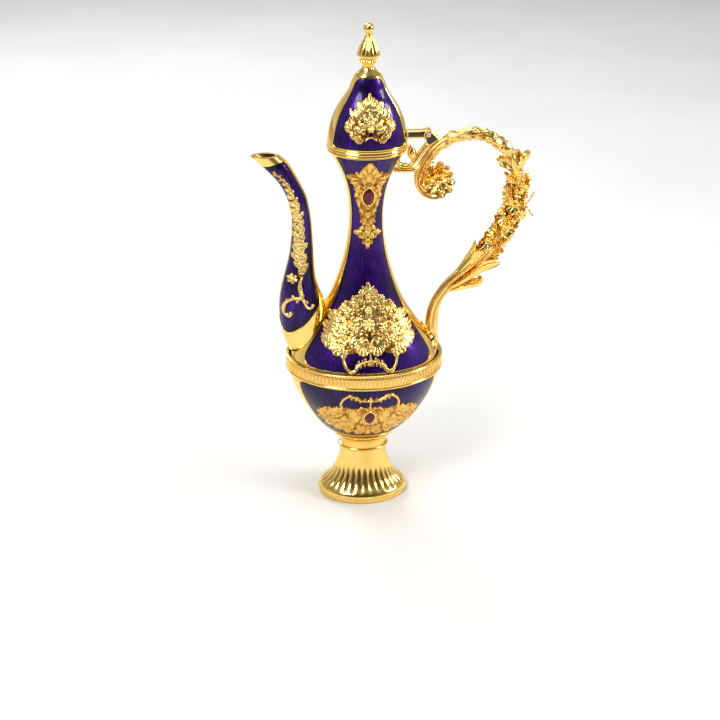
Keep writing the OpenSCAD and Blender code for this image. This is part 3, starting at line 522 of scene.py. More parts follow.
def buildStage():
    cam = aimed("camera", bpy.data.cameras.new("camera"), Vector(shot["camera"]) * mm,
                Vector(shot["target"]) * mm, shot["roll"])
    cam.data.lens = shot["lens"]
    cam.data.sensor_width = 36
    cam.data.clip_start = 0.01
    bpy.context.scene.camera = cam
    bpy.context.scene.view_settings.view_transform = "Standard"
    for name, place, target, size, power, colour in lamps:
        light = bpy.data.lights.new(name, "AREA")
        light.shape = "DISK"
        light.size, light.energy, light.color = size, power, colour
        aimed(name, light, place, target)

    # A room that is pale overhead and dimmer in front, so that gold has something to mirror.
    world = bpy.data.worlds.new("studio")
    bpy.context.scene.world = world
    world.use_nodes = True
    add = nodeAdder(world.node_tree)
    split = add("ShaderNodeSeparateXYZ", {0: add("ShaderNodeTexCoord").outputs["Generated"]})
    shades = ramp(add, split.outputs["Z"],
                  *[(place, tuple(tone * c for c in room["tint"])) for place, tone in room["tones"]])
    dim = mapRange(add, split.outputs["Y"], *room["front"])
    dimmed = add("ShaderNodeVectorMath", {0: shades, "Scale": dim}, operation="SCALE")
    background = world.node_tree.nodes["Background"]
    world.node_tree.links.new(dimmed.outputs["Vector"], background.inputs["Color"])
    background.inputs["Strength"].default_value = room["strength"]

    bpy.ops.mesh.primitive_plane_add(size=30, location=(0, 0, 0))
    floor = bpy.context.object
    floor.name = "floor"
    floor.data.materials.append(palePaper)


buildStage()
print("stage built")


# Enamel panels and the gold between them

# Half angle of each enamel panel at each height, in degrees from the middle of its face. The side
# bands between run from the first height of "span" to the second and bulge by "crown".
panels = {
    "body": {"line": bodyLine, "rows": 150, "columns": 84, "wire": 0.42, "enamel": enamel, "body": "pot",
             "edge": [(105.5, 50), (105.7, 53), (106.3, 56.5), (107.6, 60), (109.6, 62.6), (112.5, 63.8),
                      (118, 64), (237, 64), (240.4, 63.3), (241.8, 60.5), (242.2, 56)],
             "panelNode": "body_enamel_", "span": (105.0, 242.5), "crown": 0.25,
             "bandNodes": (["side_band_spout"], ["side_band_handle"])},
    "bowl": {"line": bowlLine, "rows": 60, "columns": 84, "wire": 0.42, "enamel": enamelPaintedShade, "body": "pot",
             "edge": [(51.4, 58), (52.2, 62), (54, 64), (88, 64), (92.4, 63), (93.8, 60.6), (94.6, 56)],
             "panelNode": "lower_enamel_", "span": (48.6, 95.2), "crown": 0.1,
             "bandNodes": (["lower_side_bands"], [])},
    "lid": {"line": lidLine, "rows": 96, "columns": 64, "wire": 0.36, "enamel": enamel, "body": "lid",
            "edge": [(248.1, 56), (248.5, 59.5), (249.4, 62.4), (251.5, 63.8), (254, 64), (283.2, 64),
                     (285.6, 63), (287.2, 59.5), (288.3, 53), (289.2, 43), (289.9, 28), (290.2, 11),
                     (290.3, 3)],
            "panelNode": "lid_enamel_", "span": (247.6, 291.2), "crown": 0.3,
            "bandNodes": (["lid_side_bands"], [])},
}
enamelDome = {"rim": -0.42, "reach": 1.3, "shade": 2.4}


def panelEdge(spec, z):
    table = np.array(spec["edge"])
    reach = np.interp(z, table[:, 0], table[:, 1])
    return np.where((z < table[0, 0]) | (z > table[-1, 0]), 0.0, np.radians(reach))


# Heights that crowd a little towards both ends.
def endWeighted(spec, count, trim=0.0):
    t = np.linspace(0, 1, count)
    return mix(spec["edge"][0][0] + trim, spec["edge"][-1][0] - trim,
               0.55 * t + 0.45 * (0.5 - 0.5 * np.cos(math.pi * t)))


def skinSolid(line, turn, z, lift):
    z = z + 0 * turn
    return solidFromGrids(ovalPoints(line, turn, z, lift), ovalPoints(line, turn, z, -pot["skin"] + 0 * lift))


def enamelPanel(name, spec, facing, node):
    line = spec["line"]
    low, high = spec["edge"][0][0], spec["edge"][-1][0]
    z = endWeighted(spec, spec["rows"])[:, None]
    half = panelEdge(spec, z)
    angle = half * np.sin(np.linspace(-1, 1, spec["columns"]) * up)[None, :]
    arc = radiusAt(line, z) * 0.86
    slant = np.sqrt(1 + slopeAt(line, z) ** 2)
    inward = np.minimum(np.minimum((half - abs(angle)) * arc, (z - low) * slant), (high - z) * slant)
    dome = enamelDome["rim"] * (1 - smoothStep(inward / enamelDome["reach"]))
    # shade is the painted shade along the panel's border, stored as the inward attribute; it fades out over
    # enamelDome's shade distance.
    shade = np.clip(inward / enamelDome["shade"], 0, 1).ravel()
    piece = addMesh(name, *skinSolid(line, angle + facing * up, z, dome),
                    attributes={"inward": np.tile(shade, 2)})
    finishPiece(piece, spec["enamel"], spec["body"], "violet_enamel", node)


# Raised wire round each panel, laid on its outline.
def panelFrame(name, spec, facing):
    z = endWeighted(spec, 90)
    half = panelEdge(spec, z)
    end = np.linspace(-1, 1, 31)[1:-1]
    angles = np.concatenate([-half, half[-1] * end, half[::-1], -half[0] * end])
    heights = np.concatenate([z, np.full(29, z[-1]), z[::-1], np.full(29, z[0])])
    line = ovalPoints(spec["line"], angles + facing * up, heights, 0.02)
    gild(wired(name, [line], spec["wire"], 8), body=spec["body"])


# Gold side band: it fills what the panels leave, so it spreads round their corners.
def sideBand(name, spec, direction, nodes):
    hair = 1e-4
    low, high = spec["edge"][0][0] - hair, spec["edge"][-1][0] + hair
    inner = endWeighted(spec, spec["rows"] // 2, hair)
    z = np.concatenate([[spec["span"][0], low], inner, [high, spec["span"][1]]])[:, None]
    half = up - panelEdge(spec, z)
    across = np.linspace(-1, 1, 49)[None, :]
    lift = spec["crown"] * (1 - across ** 2) * np.minimum(1, 0.6 / half) + 0 * half - 0.06
    piece = addMesh(name, *skinSolid(spec["line"], half * across + direction, z, lift))
    gild(piece, *nodes, body=spec["body"])


for key, spec in panels.items():
    for facing, side in sides:
        enamelPanel(key + "Enamel" + side.capitalize(), spec, facing, spec["panelNode"] + side)
        panelFrame(key + "Frame" + side.capitalize(), spec, facing)
    for end, direction, replaced in zip(("Spout", "Handle"), (math.pi, 0.0), spec["bandNodes"]):
        sideBand(key + "Band" + end, spec, direction, replaced)
print("panels, frames and side bands made")


# Belt, rims and foot

# A closed skin turned to the oval from a section of [half width, height] points.
def turnedPiece(name, section, *replaced, body="pot", columns=192):
    s = np.array(section, float)
    angle = ringAngles(columns)
    c, n = np.cos(angle)[:, None], np.sin(angle)[:, None]
    pts = np.stack([s[:, 0] * c, pot["depth"] * s[:, 0] * n, s[:, 1] + 0 * c], -1)
    index = np.arange(columns * len(s)).reshape(columns, len(s))
    faces = quadsOf(np.vstack([index, index[:1]]), True).tolist()
    gild(addMesh(name, pts.reshape(-1, 3), faces, 35), *replaced, body=body)


def roundedLip(x, z, r, start, stop, count=7):
    a = np.radians(np.linspace(start, stop, count))
    return [(x + r * math.cos(t), z + r * math.sin(t)) for t in a]


# Points evenly spaced along an oval ring, and the way out from each.
def ovalRing(halfWidth, z, count):
    fine = np.linspace(0, tau, 2001)
    x, y = halfWidth * np.cos(fine), pot["depth"] * halfWidth * np.sin(fine)
    run = np.concatenate([[0], np.cumsum(np.hypot(np.diff(x), np.diff(y)))])
    a = np.interp(np.arange(count) / count * run[-1], run, fine)
    place = np.stack([halfWidth * np.cos(a), pot["depth"] * halfWidth * np.sin(a), 0 * a + z], -1)
    return place, unit(np.stack([np.cos(a), np.sin(a) / pot["depth"], 0 * a], -1))


belt = {"half": 51.7, "low": 94.9, "high": 105.1, "lip": 0.75, "sunk": 0.7, "motifs": 108, "motifHeight": 6.4}


def buildBelt():
    b = belt
    low, high, lip, floor = b["low"], b["high"], b["lip"], b["half"] - b["sunk"]
    inner, lipMiddle = b["half"] - 2.1, b["half"] - b["lip"]
    turnedPiece("belt", [(inner, low)] + roundedLip(lipMiddle, low + lip, lip, -90, 100)
                + [(floor - 0.25, low + 1.75), (floor, low + 2.1), (floor, high - 2.1),
                   (floor - 0.25, high - 1.75)]
                + roundedLip(lipMiddle, high - lip, lip, -100, 90) + [(inner, high)],
                "belt_band", columns=256)
    # Each motif is a small key: a wave stroke and a bar.
    h = b["motifHeight"] / 2
    wave = [(-0.9, -h, 0.1), (-1.0, 0, 0.18), (-0.2, h * 0.8, 0.22), (0.75, h * 0.5, 0.2),
            (0.5, -h * 0.1, 0.2), (-0.1, -h * 0.2, 0.1)]
    bar = [(0.25, -h, 0.1), (0.85, -h * 0.55, 0.2), (1.15, 0.1 * h, 0.15), (1.25, h, 0.1)]
    strokes = [sweptTube(splinePoints(route, 3), r, 5, up=(0, 0, 1))
               for route, r in ((wave, 0.3), (bar, 0.27))]
    places, outs = ovalRing(floor, (low + high) / 2, b["motifs"])
    upright = Vector((0, 0, 1))
    turns = [tuple(Matrix((upright.cross(Vector(o)), upright, Vector(o))).transposed().to_euler())
             for o in outs]
    motif = looseObject("keyMotif", *joined(strokes))
    piece = scattered("beltKeys", motif, places, turns, np.ones(len(places)),
                      goldSatin)
    finishPiece(piece, goldSatin, "pot", "polished_gilt")


def beadPiece(name, radius, places, turns):
    bm = bmesh.new()
    bmesh.ops.create_icosphere(bm, subdivisions=2, radius=radius * mm)
    mesh = bpy.data.meshes.new(name + "Bead")
    bm.to_mesh(mesh)
    bm.free()
    bead = bpy.data.objects.new(name + "Bead", mesh)
    gild(scattered(name, bead, places, turns, np.ones(len(places)), goldPolished, 80))


# Beads set round an oval ring.
def beadRow(name, halfWidth, z, count, radius):
    places, outs = ovalRing(halfWidth, z, count)
    beadPiece(name, radius, places, [turnTo(o) for o in outs])


foot = {
    "gadroons": 28, "swell": 0.9, "columns": 336, "wall": 2.2,
    "profile": [(0.86, 0.17), (0.62, 0.24), (0.38, 0.34), (0.16, 0.5), (0.03, 0.68), (0, 0.82), (0.05, 0.93),
                (0.17, 1)],
}


def buildFoot():
    half = pot["footHalf"]
    profile = [(1, 0.07), (0.98, 0.12)] + foot["profile"]
    line = splinePoints(shares((pot["waistHalf"], 0), (half, pot["footHeight"]), profile), 8)
    outer = np.array([(half - 0.8, 0.0), (half, 0.6), (half, 2.2)] + [tuple(p) for p in line[2:]])
    # Lobes swell over the spread of the foot and die out towards the waist.
    angle = ringAngles(foot["columns"])
    z = outer[:, 1]
    swell = smoothStep((z - 6.2) / 2.5) * (1 - smoothStep((z - 17) / 12))
    lobe = np.abs(np.cos(angle * foot["gadroons"] / 2))[None, :] ** 0.7 - 1
    r = outer[:, 0][:, None] + foot["swell"] * swell[:, None] * lobe
    skin = np.stack([r * np.cos(angle), pot["depth"] * r * np.sin(angle), z[:, None] + 0 * r], -1)
    inner = skin.copy()
    inner[..., :2] *= ((outer[:, 0] - foot["wall"]) / outer[:, 0])[:, None, None]
    gild(addMesh("foot", *solidFromGrids(skin, inner, wrap=True)), "foot")
    beadRow("footBeads", 29.6, 3.9, 110, 0.72)
    turnedPiece("footWaistRing", [(15.0, 34.2)] + roundedLip(15.9, 35.6, 1.15, -70, 70) + [(15.0, 37.0)])
    turnedPiece("footCollar", [(12, 44), (17, 44)] + roundedLip(18.2, 46, 1.5, -80, 80, 11)
                + [(17, 48.1), (12, 48.1)], "foot_collar")
    beadRow("collarBeads", 19.75, 46, 72, 0.62)


def buildRims():
    z = pot["neckTop"]
    turnedPiece("neckRim", [(20.95, z), (23.4, z)] + roundedLip(24.05, z + 0.62, 0.6, -60, 90)
                + [(20.95, z + 1.25)], "neck_rim")
    z = pot["lidBase"]
    turnedPiece("lidRim", [(20.95, z)] + roundedLip(24.35, z + 0.72, 0.72, -90, 60) + [(24.45, z + 1.75)]
                + roundedLip(24.3, z + 2.62, 0.85, -60, 90) + [(20.95, z + 3.55)], "lid_rim", body="lid")


buildBelt()
buildRims()
buildFoot()
print("belt, rims and foot made")


# Cast relief
# A relief is a height map in millimetres over a flat plan, pressed by stamps and then laid
# on a skin. Outside the stamps it falls below the enamel, so the outline comes out smooth.

sunken = -0.5
edgeSlope = 1.6


def newPlan(xLow, xHigh, zLow, zHigh, step=0.34):
    x, z = np.meshgrid(np.arange(xLow, xHigh + step, step), np.arange(zLow, zHigh + step, step))
    return {"x": x, "z": z, "h": np.full(x.shape, sunken), "step": step}


# The part of a plan within reach of a point, and how far each cell lies from that point.
def windowOf(plan, x, z, reach):
    rows, cols = plan["h"].shape
    spans = []
    for middle, start, count in ((z, plan["z"][0, 0], rows), (x, plan["x"][0, 0], cols)):
        low = int((middle - reach - start) / plan["step"])
        high = int((middle + reach - start) / plan["step"]) + 2
        spans.append(slice(max(0, low), min(count, max(0, high))))
    box = tuple(spans)
    return box, plan["x"][box] - x, plan["z"][box] - z


def press(plan, box, inside, height):
    fall = np.maximum(sunken, inside * edgeSlope)
    made = np.where(inside > 0, height * smoothStep(inside / 0.45 + 0.25), fall)
    plan["h"][box] = np.maximum(plan["h"][box], made)


# Acanthus leaf: a ribbed blade with a notched edge and a sunk vein, bent to one side.
def stampLeaf(plan, x, z, heading, length, width, height, bend=0.0, notches=4, lift=0.0):
    box, dx, dz = windowOf(plan, x, z, length * 1.15 + width)
    c, s = math.cos(heading), math.sin(heading)
    along = (dx * c + dz * s) / length
    across = (-dx * s + dz * c) - bend * length * along ** 2
    t = np.clip(along, 0, 1)
    edge = 0.80 + 0.20 * np.abs(np.sin(math.pi * notches * t))
    half = 0.5 * width * np.sin(math.pi * t ** 0.8) ** 0.7 * edge
    inside = half - np.abs(across) - np.maximum(np.maximum(-along, along - 1), 0) * length
    share = np.clip(np.abs(across) / np.maximum(half, 0.05), 0, 1)
    bulge = 0.45 + 0.55 * np.sqrt(1 - share ** 2)
    vein = 0.38 * np.exp(-(across / 0.32) ** 2)
    ribs = 0.16 * np.cos(tau * (t * notches + 0.5 * share)) * (share > 0.15)
    press(plan, box, inside, lift + height * (bulge - vein + ribs) * (0.65 + 0.35 * np.sin(math.pi * t)))


# Fluted shell: rays spread from a hinge to a scalloped edge.
def stampShell(plan, x, z, heading, radius, rays, height=0.95, lift=0.12):
    box, dx, dz = windowOf(plan, x, z, radius * 1.3)
    hingeX, hingeZ = dx + 0.55 * radius * math.cos(heading), dz + 0.55 * radius * math.sin(heading)
    spread = np.hypot(hingeX, hingeZ)
    turn = (np.arctan2(hingeZ, hingeX) - heading + math.pi) % tau - math.pi
    inside = radius + 0.10 * radius * (np.abs(np.cos(turn * rays)) - 0.6) - np.hypot(dx, dz)
    flute = 0.66 + 0.34 * np.cos(2 * turn * rays)
    crown = 0.55 + 0.45 * np.clip(spread / (1.4 * radius), 0, 1)
    eye = np.exp(-(spread / (0.28 * radius)) ** 2)
    press(plan, box, inside, lift + height * np.maximum(flute * crown, eye))


def stampRosette(plan, x, z, radius, height, petals=6, lift=0.0, spin=0.0):
    box, dx, dz = windowOf(plan, x, z, radius * 1.3)
    reach = np.hypot(dx, dz)
    fold = np.abs(np.cos((np.arctan2(dz, dx) + spin) * petals / 2))
    inside = radius * (0.62 + 0.38 * fold ** 0.6) - reach
    cup = 0.5 + 0.35 * np.clip(reach / radius, 0, 1) + 0.15 * fold
    eye = 1.15 * np.sqrt(np.clip(1 - (reach / (0.27 * radius)) ** 2, 0, 1))
    press(plan, box, inside, lift + height * np.maximum(cup * (0.45 + 0.55 * fold), eye))


# Rounded stroke along a line of [x, z, radius].
def stampStroke(plan, line, height, steps=10):
    for x, z, r in splinePoints(line, steps):
        box, dx, dz = windowOf(plan, x, z, r + 0.8)
        reach = np.hypot(dx, dz)
        press(plan, box, r - reach, height * (0.35 + 0.65 * np.sqrt(np.clip(1 - (reach / r) ** 2, 0, 1))))


def stampBead(plan, x, z, radius, height):
    stampStroke(plan, [(x, z, radius), (x + 0.01, z, radius)], height, 1)


# The same stamp on both sides of the middle.
def mirrored(stamp, plan, x, z, heading, *rest, bend=0.0, **named):
    if bend:
        named["bend"] = bend
    stamp(plan, x, z, heading, *rest, **named)
    if bend:
        named["bend"] = -bend
    stamp(plan, -x, z, math.pi - heading, *rest, **named)


# Distance in from the outline of a union of lobes [x, z, radius].
def insideLobes(plan, lobes, ripple):
    x, z = plan["x"], plan["z"]
    inside = np.full(x.shape, -9.0)
    for cx, cz, r in lobes:
        for s in (-1, 1):
            inside = np.maximum(inside, r - np.hypot(x - s * cx, z - cz))
    return inside - ripple * np.abs(np.sin(x * 1.9) * np.sin(z * 1.7))


def layGround(plan, inside, height):
    press(plan, (slice(None), slice(None)), inside, height + 0 * inside)


# Overlapping leaves that fan out from an anchor and fill an outline.
def fillLeaves(plan, inside, anchor, count, seed, length, width, height):
    rng = np.random.default_rng(seed)
    x0, z0, step = plan["x"][0, 0], plan["z"][0, 0], plan["step"]
    rows, cols = inside.shape
    placed = 0
    for _ in range(count * 6):
        x = abs(rng.uniform(0, plan["x"].max()))
        z = rng.uniform(plan["z"].min(), plan["z"].max())
        i, j = int((z - z0) / step), int((x - x0) / step)
        jitter, size = rng.normal(0, 0.35), rng.uniform(0.75, 1.2)
        tilt, lift = rng.uniform(-0.2, 0.2), rng.uniform(0, 0.22)
        if placed < count and 0 <= i < rows and 0 <= j < cols and inside[i, j] > 0.7:
            placed += 1
            heading = math.atan2(z - anchor[1], x - anchor[0]) + jitter if x >= 1.0 else up + jitter * 0.3
            mirrored(stampLeaf, plan, x, z, heading, length * size, width * size, height,
                     bend=tilt, notches=3, lift=lift)


# Cast grain over whatever stands proud.
def roughen(plan, seed, amount):
    noise = np.random.default_rng(seed).normal(0, 1, plan["h"].shape)
    noise = noise + np.roll(noise, 1, 0) + np.roll(noise, 1, 1)
    plan["h"] = np.where(plan["h"] > 0.1, plan["h"] + amount * noise, plan["h"])


# Turns a plan into a closed piece. surface gives a point for plan x, z and lift.
def layRelief(name, plan, surface, top, material, body, node):
    h = np.clip(plan["h"], sunken, None)
    keep = h > sunken + 1e-6
    cell = keep[:-1, :-1] | keep[:-1, 1:] | keep[1:, 1:] | keep[1:, :-1]
    used = np.zeros(h.shape, bool)
    for di in (0, 1):
        for dj in (0, 1):
            used[di:di + cell.shape[0], dj:dj + cell.shape[1]] |= cell
    number = -np.ones(h.shape, int)
    count = int(used.sum())
    number[used] = np.arange(count)
    x, z, lift = plan["x"][used], plan["z"][used], h[used]
    outer = surface(x, z, lift)
    inner = surface(x, z, np.full_like(lift, sunken - 0.25))
    a, b, c, d = number[:-1, :-1], number[:-1, 1:], number[1:, 1:], number[1:, :-1]
    quads = np.stack([a, b, c, d], -1)[cell]
    faces = [quads, quads[:, ::-1] + count]
    # Walls stand on every cell edge with no cell beyond it.
    pad = np.pad(cell, 1)
    for beyond, start, end in ((pad[:-2, 1:-1], a, b), (pad[2:, 1:-1], c, d), (pad[1:-1, :-2], d, a),
                               (pad[1:-1, 2:], b, c)):
        start, end = start[cell & ~beyond], end[cell & ~beyond]
        faces.append(np.stack([end, start, start + count, end + count], -1))
    # rise is the share of the relief's height that the cast gold turns into painted shade in its low parts.
    piece = addMesh(name, np.vstack([outer, inner]), np.vstack(faces).tolist(), 0,
                    {"rise": np.tile(np.clip(lift / top, 0, 1), 2)})
    finishPiece(piece, material, body, "pale_gilt_relief", node)


# Everything is pressed on both sides of the middle. "fill" is anchor, count, seed, length, width and
# height; shells are x, z, heading, radius, rays (height, lift); a leaf group is its height, bend,
# notches and lift, then x, z, heading, length, width; rosettes are x, z, radius, height, petals, lift;
# strokes are a height and a line of x, z, radius.
reliefs = {
    "shoulder": {
        "line": bodyLine, "body": "pot", "material": goldCast,
        "box": (-32, 32, 104.6, 161.5), "narrow": 0.965, "ripple": 0.25, "ground": 0.22, "slack": 0.55,
        "fill": ((0, 116), 120, 11, 6.2, 3.2, 0.72), "grain": (3, 0.018), "eyes": 7,
        "lobes": [(0, 156.2, 1.7), (2.3, 154.2, 1.7), (4.2, 152.5, 1.7), (0, 151, 4.6), (7.2, 147.8, 3.6),
                  (3, 146, 5), (13.1, 143.1, 4.5), (18.1, 139.6, 2.6), (22.0, 135.6, 4.2), (9, 139, 7),
                  (25.3, 129.7, 4.2), (26.0, 122.9, 4.6), (22.2, 118.6, 3.2), (17.9, 117.4, 2.9),
                  (0, 135, 13), (14, 130, 10), (20, 126, 7), (4.7, 120.9, 5.0), (13, 122, 5), (6, 126, 8)],
        "shells": [(13.1, 143.1, 1.15, 4.3, 6), (22.0, 135.6, 0.85, 4.0, 6), (25.5, 129.5, 0.35, 4.0, 6),
                   (26.0, 122.8, -0.15, 4.5, 7), (22.0, 118.5, -0.9, 3.2, 5), (17.9, 117.2, -1.3, 2.9, 5),
                   (7.2, 147.8, 1.3, 3.3, 5), (4.7, 120.9, -up, 5.0, 9, 1.05, 0.15)],
        "leaves": [
            ((1.0, -0.08, 2, 0.2), [(0, 152.2, up, 7.5, 2.4), (0.8, 152.2, up - 0.5, 6.0, 2.4),
                                    (1.3, 152.2, up - 0.95, 5.2, 2.4), (1.8, 152.2, up - 1.35, 4.6, 2.4)]),
            ((0.8, 0.1, 1, 0.0), [(10.2, 108.8, 1.9, 3.4, 1.7), (8.2, 110.8, 1.7, 3.2, 1.7),
                                  (5.8, 112.0, 1.9, 2.8, 1.7), (3.4, 112.8, 1.5, 2.8, 1.7),
                                  (9.0, 109.2, -1.4, 2.4, 1.7), (6.6, 111.0, -1.5, 2.3, 1.7),
                                  (4.0, 111.9, -1.6, 2.2, 1.7), (1.6, 112.4, -1.7, 2.4, 1.7)]),
            ((0.95, 0, 2, 0.0), [(0, 114.0, -up, 4.2, 2.6)])],
        "rosettes": [(0, 150.5, 2.0, 1.25, 6, 0.15), (0, 133.5, 3.6, 1.25, 8, 0.2),
                     (0, 142, 2.4, 1.15, 6, 0.15), (9.5, 131.5, 2.9, 1.15, 6, 0.15),
                     (16.8, 126.5, 2.5, 1.15, 6, 0.15)],
        "strokes": [
            (1.0, [(17.0, 118.5, 0.9), (17.7, 114.5, 0.95), (17.0, 110.6, 1.0), (14.9, 107.7, 1.05),
                   (12.2, 106.5, 1.0), (10.4, 107.2, 0.9), (9.9, 108.9, 0.75)]),
            (0.85, [(12.4, 106.8, 0.7), (10.0, 108.6, 0.9), (7.6, 110.9, 0.9), (4.8, 112.2, 0.75),
                    (2.0, 112.9, 0.7), (0, 113.2, 0.8)]),
            (0.95, [(0, 118.5, 0.6), (0, 115.5, 0.75), (0, 112.6, 1.0)])],
    },
    "neck": {
        "line": bodyLine, "body": "pot", "material": goldWarmCast,
        "box": (-14.2, 14.2, 178.4, 241.6), "ripple": 0.2, "ground": 0.26, "slack": 0.45,
        "fill": ((0, 214), 54, 31, 4.6, 2.3, 0.6), "grain": (7, 0.016), "seat": (215.8, 7.6),
        "stone": (3.3, 6.0),
        "lobes": [(0, 238.2, 1.4), (0, 235.2, 3.2), (2.6, 232.6, 2.8), (6.3, 229.6, 3.0), (10.6, 228.7, 2.3),
                  (8.6, 225.6, 2.6), (3.5, 228, 4.2), (6.0, 221.3, 2.8), (5.6, 216.5, 2.2), (5.0, 211.5, 2.4),
                  (3.6, 207, 2.4), (0, 215, 6.6), (2.6, 202.5, 2.4), (2.2, 198, 2.3), (3.0, 193.8, 2.3),
                  (6.4, 190.9, 2.1), (4.4, 189.6, 2.0), (0, 189, 3.6), (0, 223.6, 3.4), (0, 206.6, 3.0),
                  (0, 202, 2.4), (0, 197, 2.6), (0, 193.4, 2.8), (1.2, 184.8, 1.9), (0, 181.6, 1.3)],
        "leaves": [
            ((0.95, 0.08, 3, 0.15), [
                (0, 231.5, up, 8.4, 3.0), (1.4, 230.4, up - 0.6, 6.4, 2.6), (3.4, 228.9, up - 1.1, 6.2, 2.6),
                (6.2, 227.6, up - 1.5, 6.2, 2.6), (6.8, 225.4, up - 1.95, 4.8, 2.4),
                (5.0, 224.0, -1.1, 5.0, 2.2), (6.6, 219.4, -1.4, 6.0, 2.2), (6.0, 213.2, -1.75, 6.0, 2.2),
                (4.6, 208.0, -1.95, 5.2, 2.2)]),
            ((0.95, 0.1, 3, 0.15), [
                (1.0, 206.0, -1.75, 6.0, 2.2), (1.2, 201.0, -1.4, 5.5, 2.3), (1.6, 195.6, -0.75, 5.4, 2.4),
                (2.4, 191.6, -0.15, 6.0, 2.5), (1.4, 191.0, -1.1, 5.0, 2.2), (0, 189.4, -up, 8.2, 2.8)])],
        "rosettes": [(0, 227.6, 2.2, 1.1, 6, 0.2), (0, 192.6, 1.9, 1.1, 5, 0.2),
                     (6.8, 190.8, 1.7, 1.1, 5, 0.1)],
    },
    "bowl": {
        "line": bowlLine, "body": "pot", "material": goldWarmCast,
        "box": (-33.5, 33.5, 53.4, 93.0), "ripple": 0.25, "ground": 0.22, "slack": 0.5,
        "fill": ((0, 84), 84, 41, 5.8, 3.0, 0.7), "grain": (9, 0.018), "seat": (72.6, 7.0),
        "stone": (3.3, 5.2),
        "lobes": [(0, 77.2, 4.2), (4.6, 76.4, 3.0), (9.2, 76.8, 3.4), (15, 77.6, 3.0), (20.5, 77.0, 3.2),
                  (26.2, 75.8, 3.2), (30.0, 73.6, 2.6), (28.0, 69.0, 3.6), (24.0, 64.8, 3.4),
                  (18.6, 61.6, 3.4), (12.6, 59.2, 3.3), (6.2, 57.4, 2.8), (0, 57.2, 3.0), (0, 66, 8),
                  (9, 68, 8), (18, 70, 7.5)],
        "shells": [(28.2, 72.6, 0.0, 3.8, 6), (24.2, 65.2, -0.6, 3.6, 6), (18.4, 61.4, -0.9, 3.4, 6),
                   (12.4, 59.2, -1.2, 3.3, 6), (6.2, 57.6, -1.35, 2.9, 5), (20.4, 77.4, 1.2, 3.0, 5),
                   (12.4, 77.2, 1.5, 3.0, 5)],
        "leaves": [
            ((1.0, 0, 3, 0.2), [(0, 60.5, -up, 6.5, 3.2)]),
            ((0.8, 0.1, 1, 0.0), [(12.6, 89.8, -1.9, 3.4, 1.8), (9.8, 88.8, -1.8, 3.0, 1.8),
                                  (7.0, 87.0, -1.9, 2.6, 1.8), (3.6, 86.4, 1.4, 2.4, 1.8)]),
            ((0.95, 0, 2, 0.0), [(0, 85.6, up, 4.2, 2.6)])],
        "strokes": [
            (1.0, [(17.8, 79.6, 0.8), (18.8, 83.0, 0.85), (17.2, 87.2, 0.9), (13.6, 90.2, 0.95),
                   (10.6, 89.6, 0.9), (7.4, 87.6, 0.9), (3.6, 86.4, 0.8), (0, 86.6, 0.9)]),
            (0.9, [(0.4, 78.0, 0.7), (3.4, 80.4, 0.8), (6.6, 80.0, 0.8), (8.2, 78.0, 0.8)]),
            (0.95, [(0, 79.0, 0.8), (0, 83.0, 0.7), (0, 87.0, 0.9)])],
    },
    "lid": {
        "line": lidLine, "body": "lid", "material": goldCast,
        "box": (-18, 18, 249.6, 283.6), "narrow": 0.92, "ripple": 0.2, "ground": 0.22, "slack": 0.5,
        "fill": ((0, 250), 46, 21, 5.6, 2.7, 0.72), "grain": (5, 0.018), "notch": (250.6, 4.9),
        "lobes": [(0, 279, 1.6), (0, 276, 3.4), (2.2, 276.9, 1.7), (4.6, 274.6, 2.2), (7.2, 273.6, 2.0),
                  (3, 270, 5), (8, 268, 4.2), (13.9, 261.8, 3.0), (11.6, 265.0, 2.6), (8, 262, 5),
                  (0, 266, 7), (11.0, 257.6, 2.6), (7.6, 254.6, 2.6), (4.5, 258.3, 3.2)],
        "shells": [(13.9, 261.8, -0.05, 2.9, 6), (7.6, 254.7, -1.1, 2.6, 5), (11.2, 257.8, -0.6, 2.4, 5)],
        "leaves": [
            ((1.05, 0.06, 2, 0.18), [
                (0, 272, up, 9.5, 2.5), (1.3, 271.5, up - 0.28, 7.5, 2.5), (3.4, 269.0, up - 0.5, 7.4, 2.5),
                (5.6, 267.8, up - 0.42, 7.0, 2.5), (7.4, 266.4, up - 0.75, 5.2, 2.5)]),
            ((1.1, 0.05, 3, 0.25), [
                (0, 263.5, up, 7.0, 3.0), (1.6, 262.6, up - 0.5, 6.6, 3.0), (3.0, 261.2, up - 0.95, 6.4, 3.0),
                (4.4, 259.6, up - 1.35, 6.0, 3.0)])],
        "rosettes": [(0, 261.0, 2.3, 1.2, 6, 0.2)],
        "strokes": [(1.0, [(10.6, 265.6, 0.75), (11.7, 267.6, 1.0), (12.5, 269.8, 1.1), (12.5, 271.6, 0.8)]),
                    (0.75, [(3.7, 254.3, 0.6), (2.0, 255.6, 0.6), (0, 256.1, 0.65)])],
    },
}
eye = {"inset": 0.3, "radius": 0.34, "height": 1.15, "petals": 5}


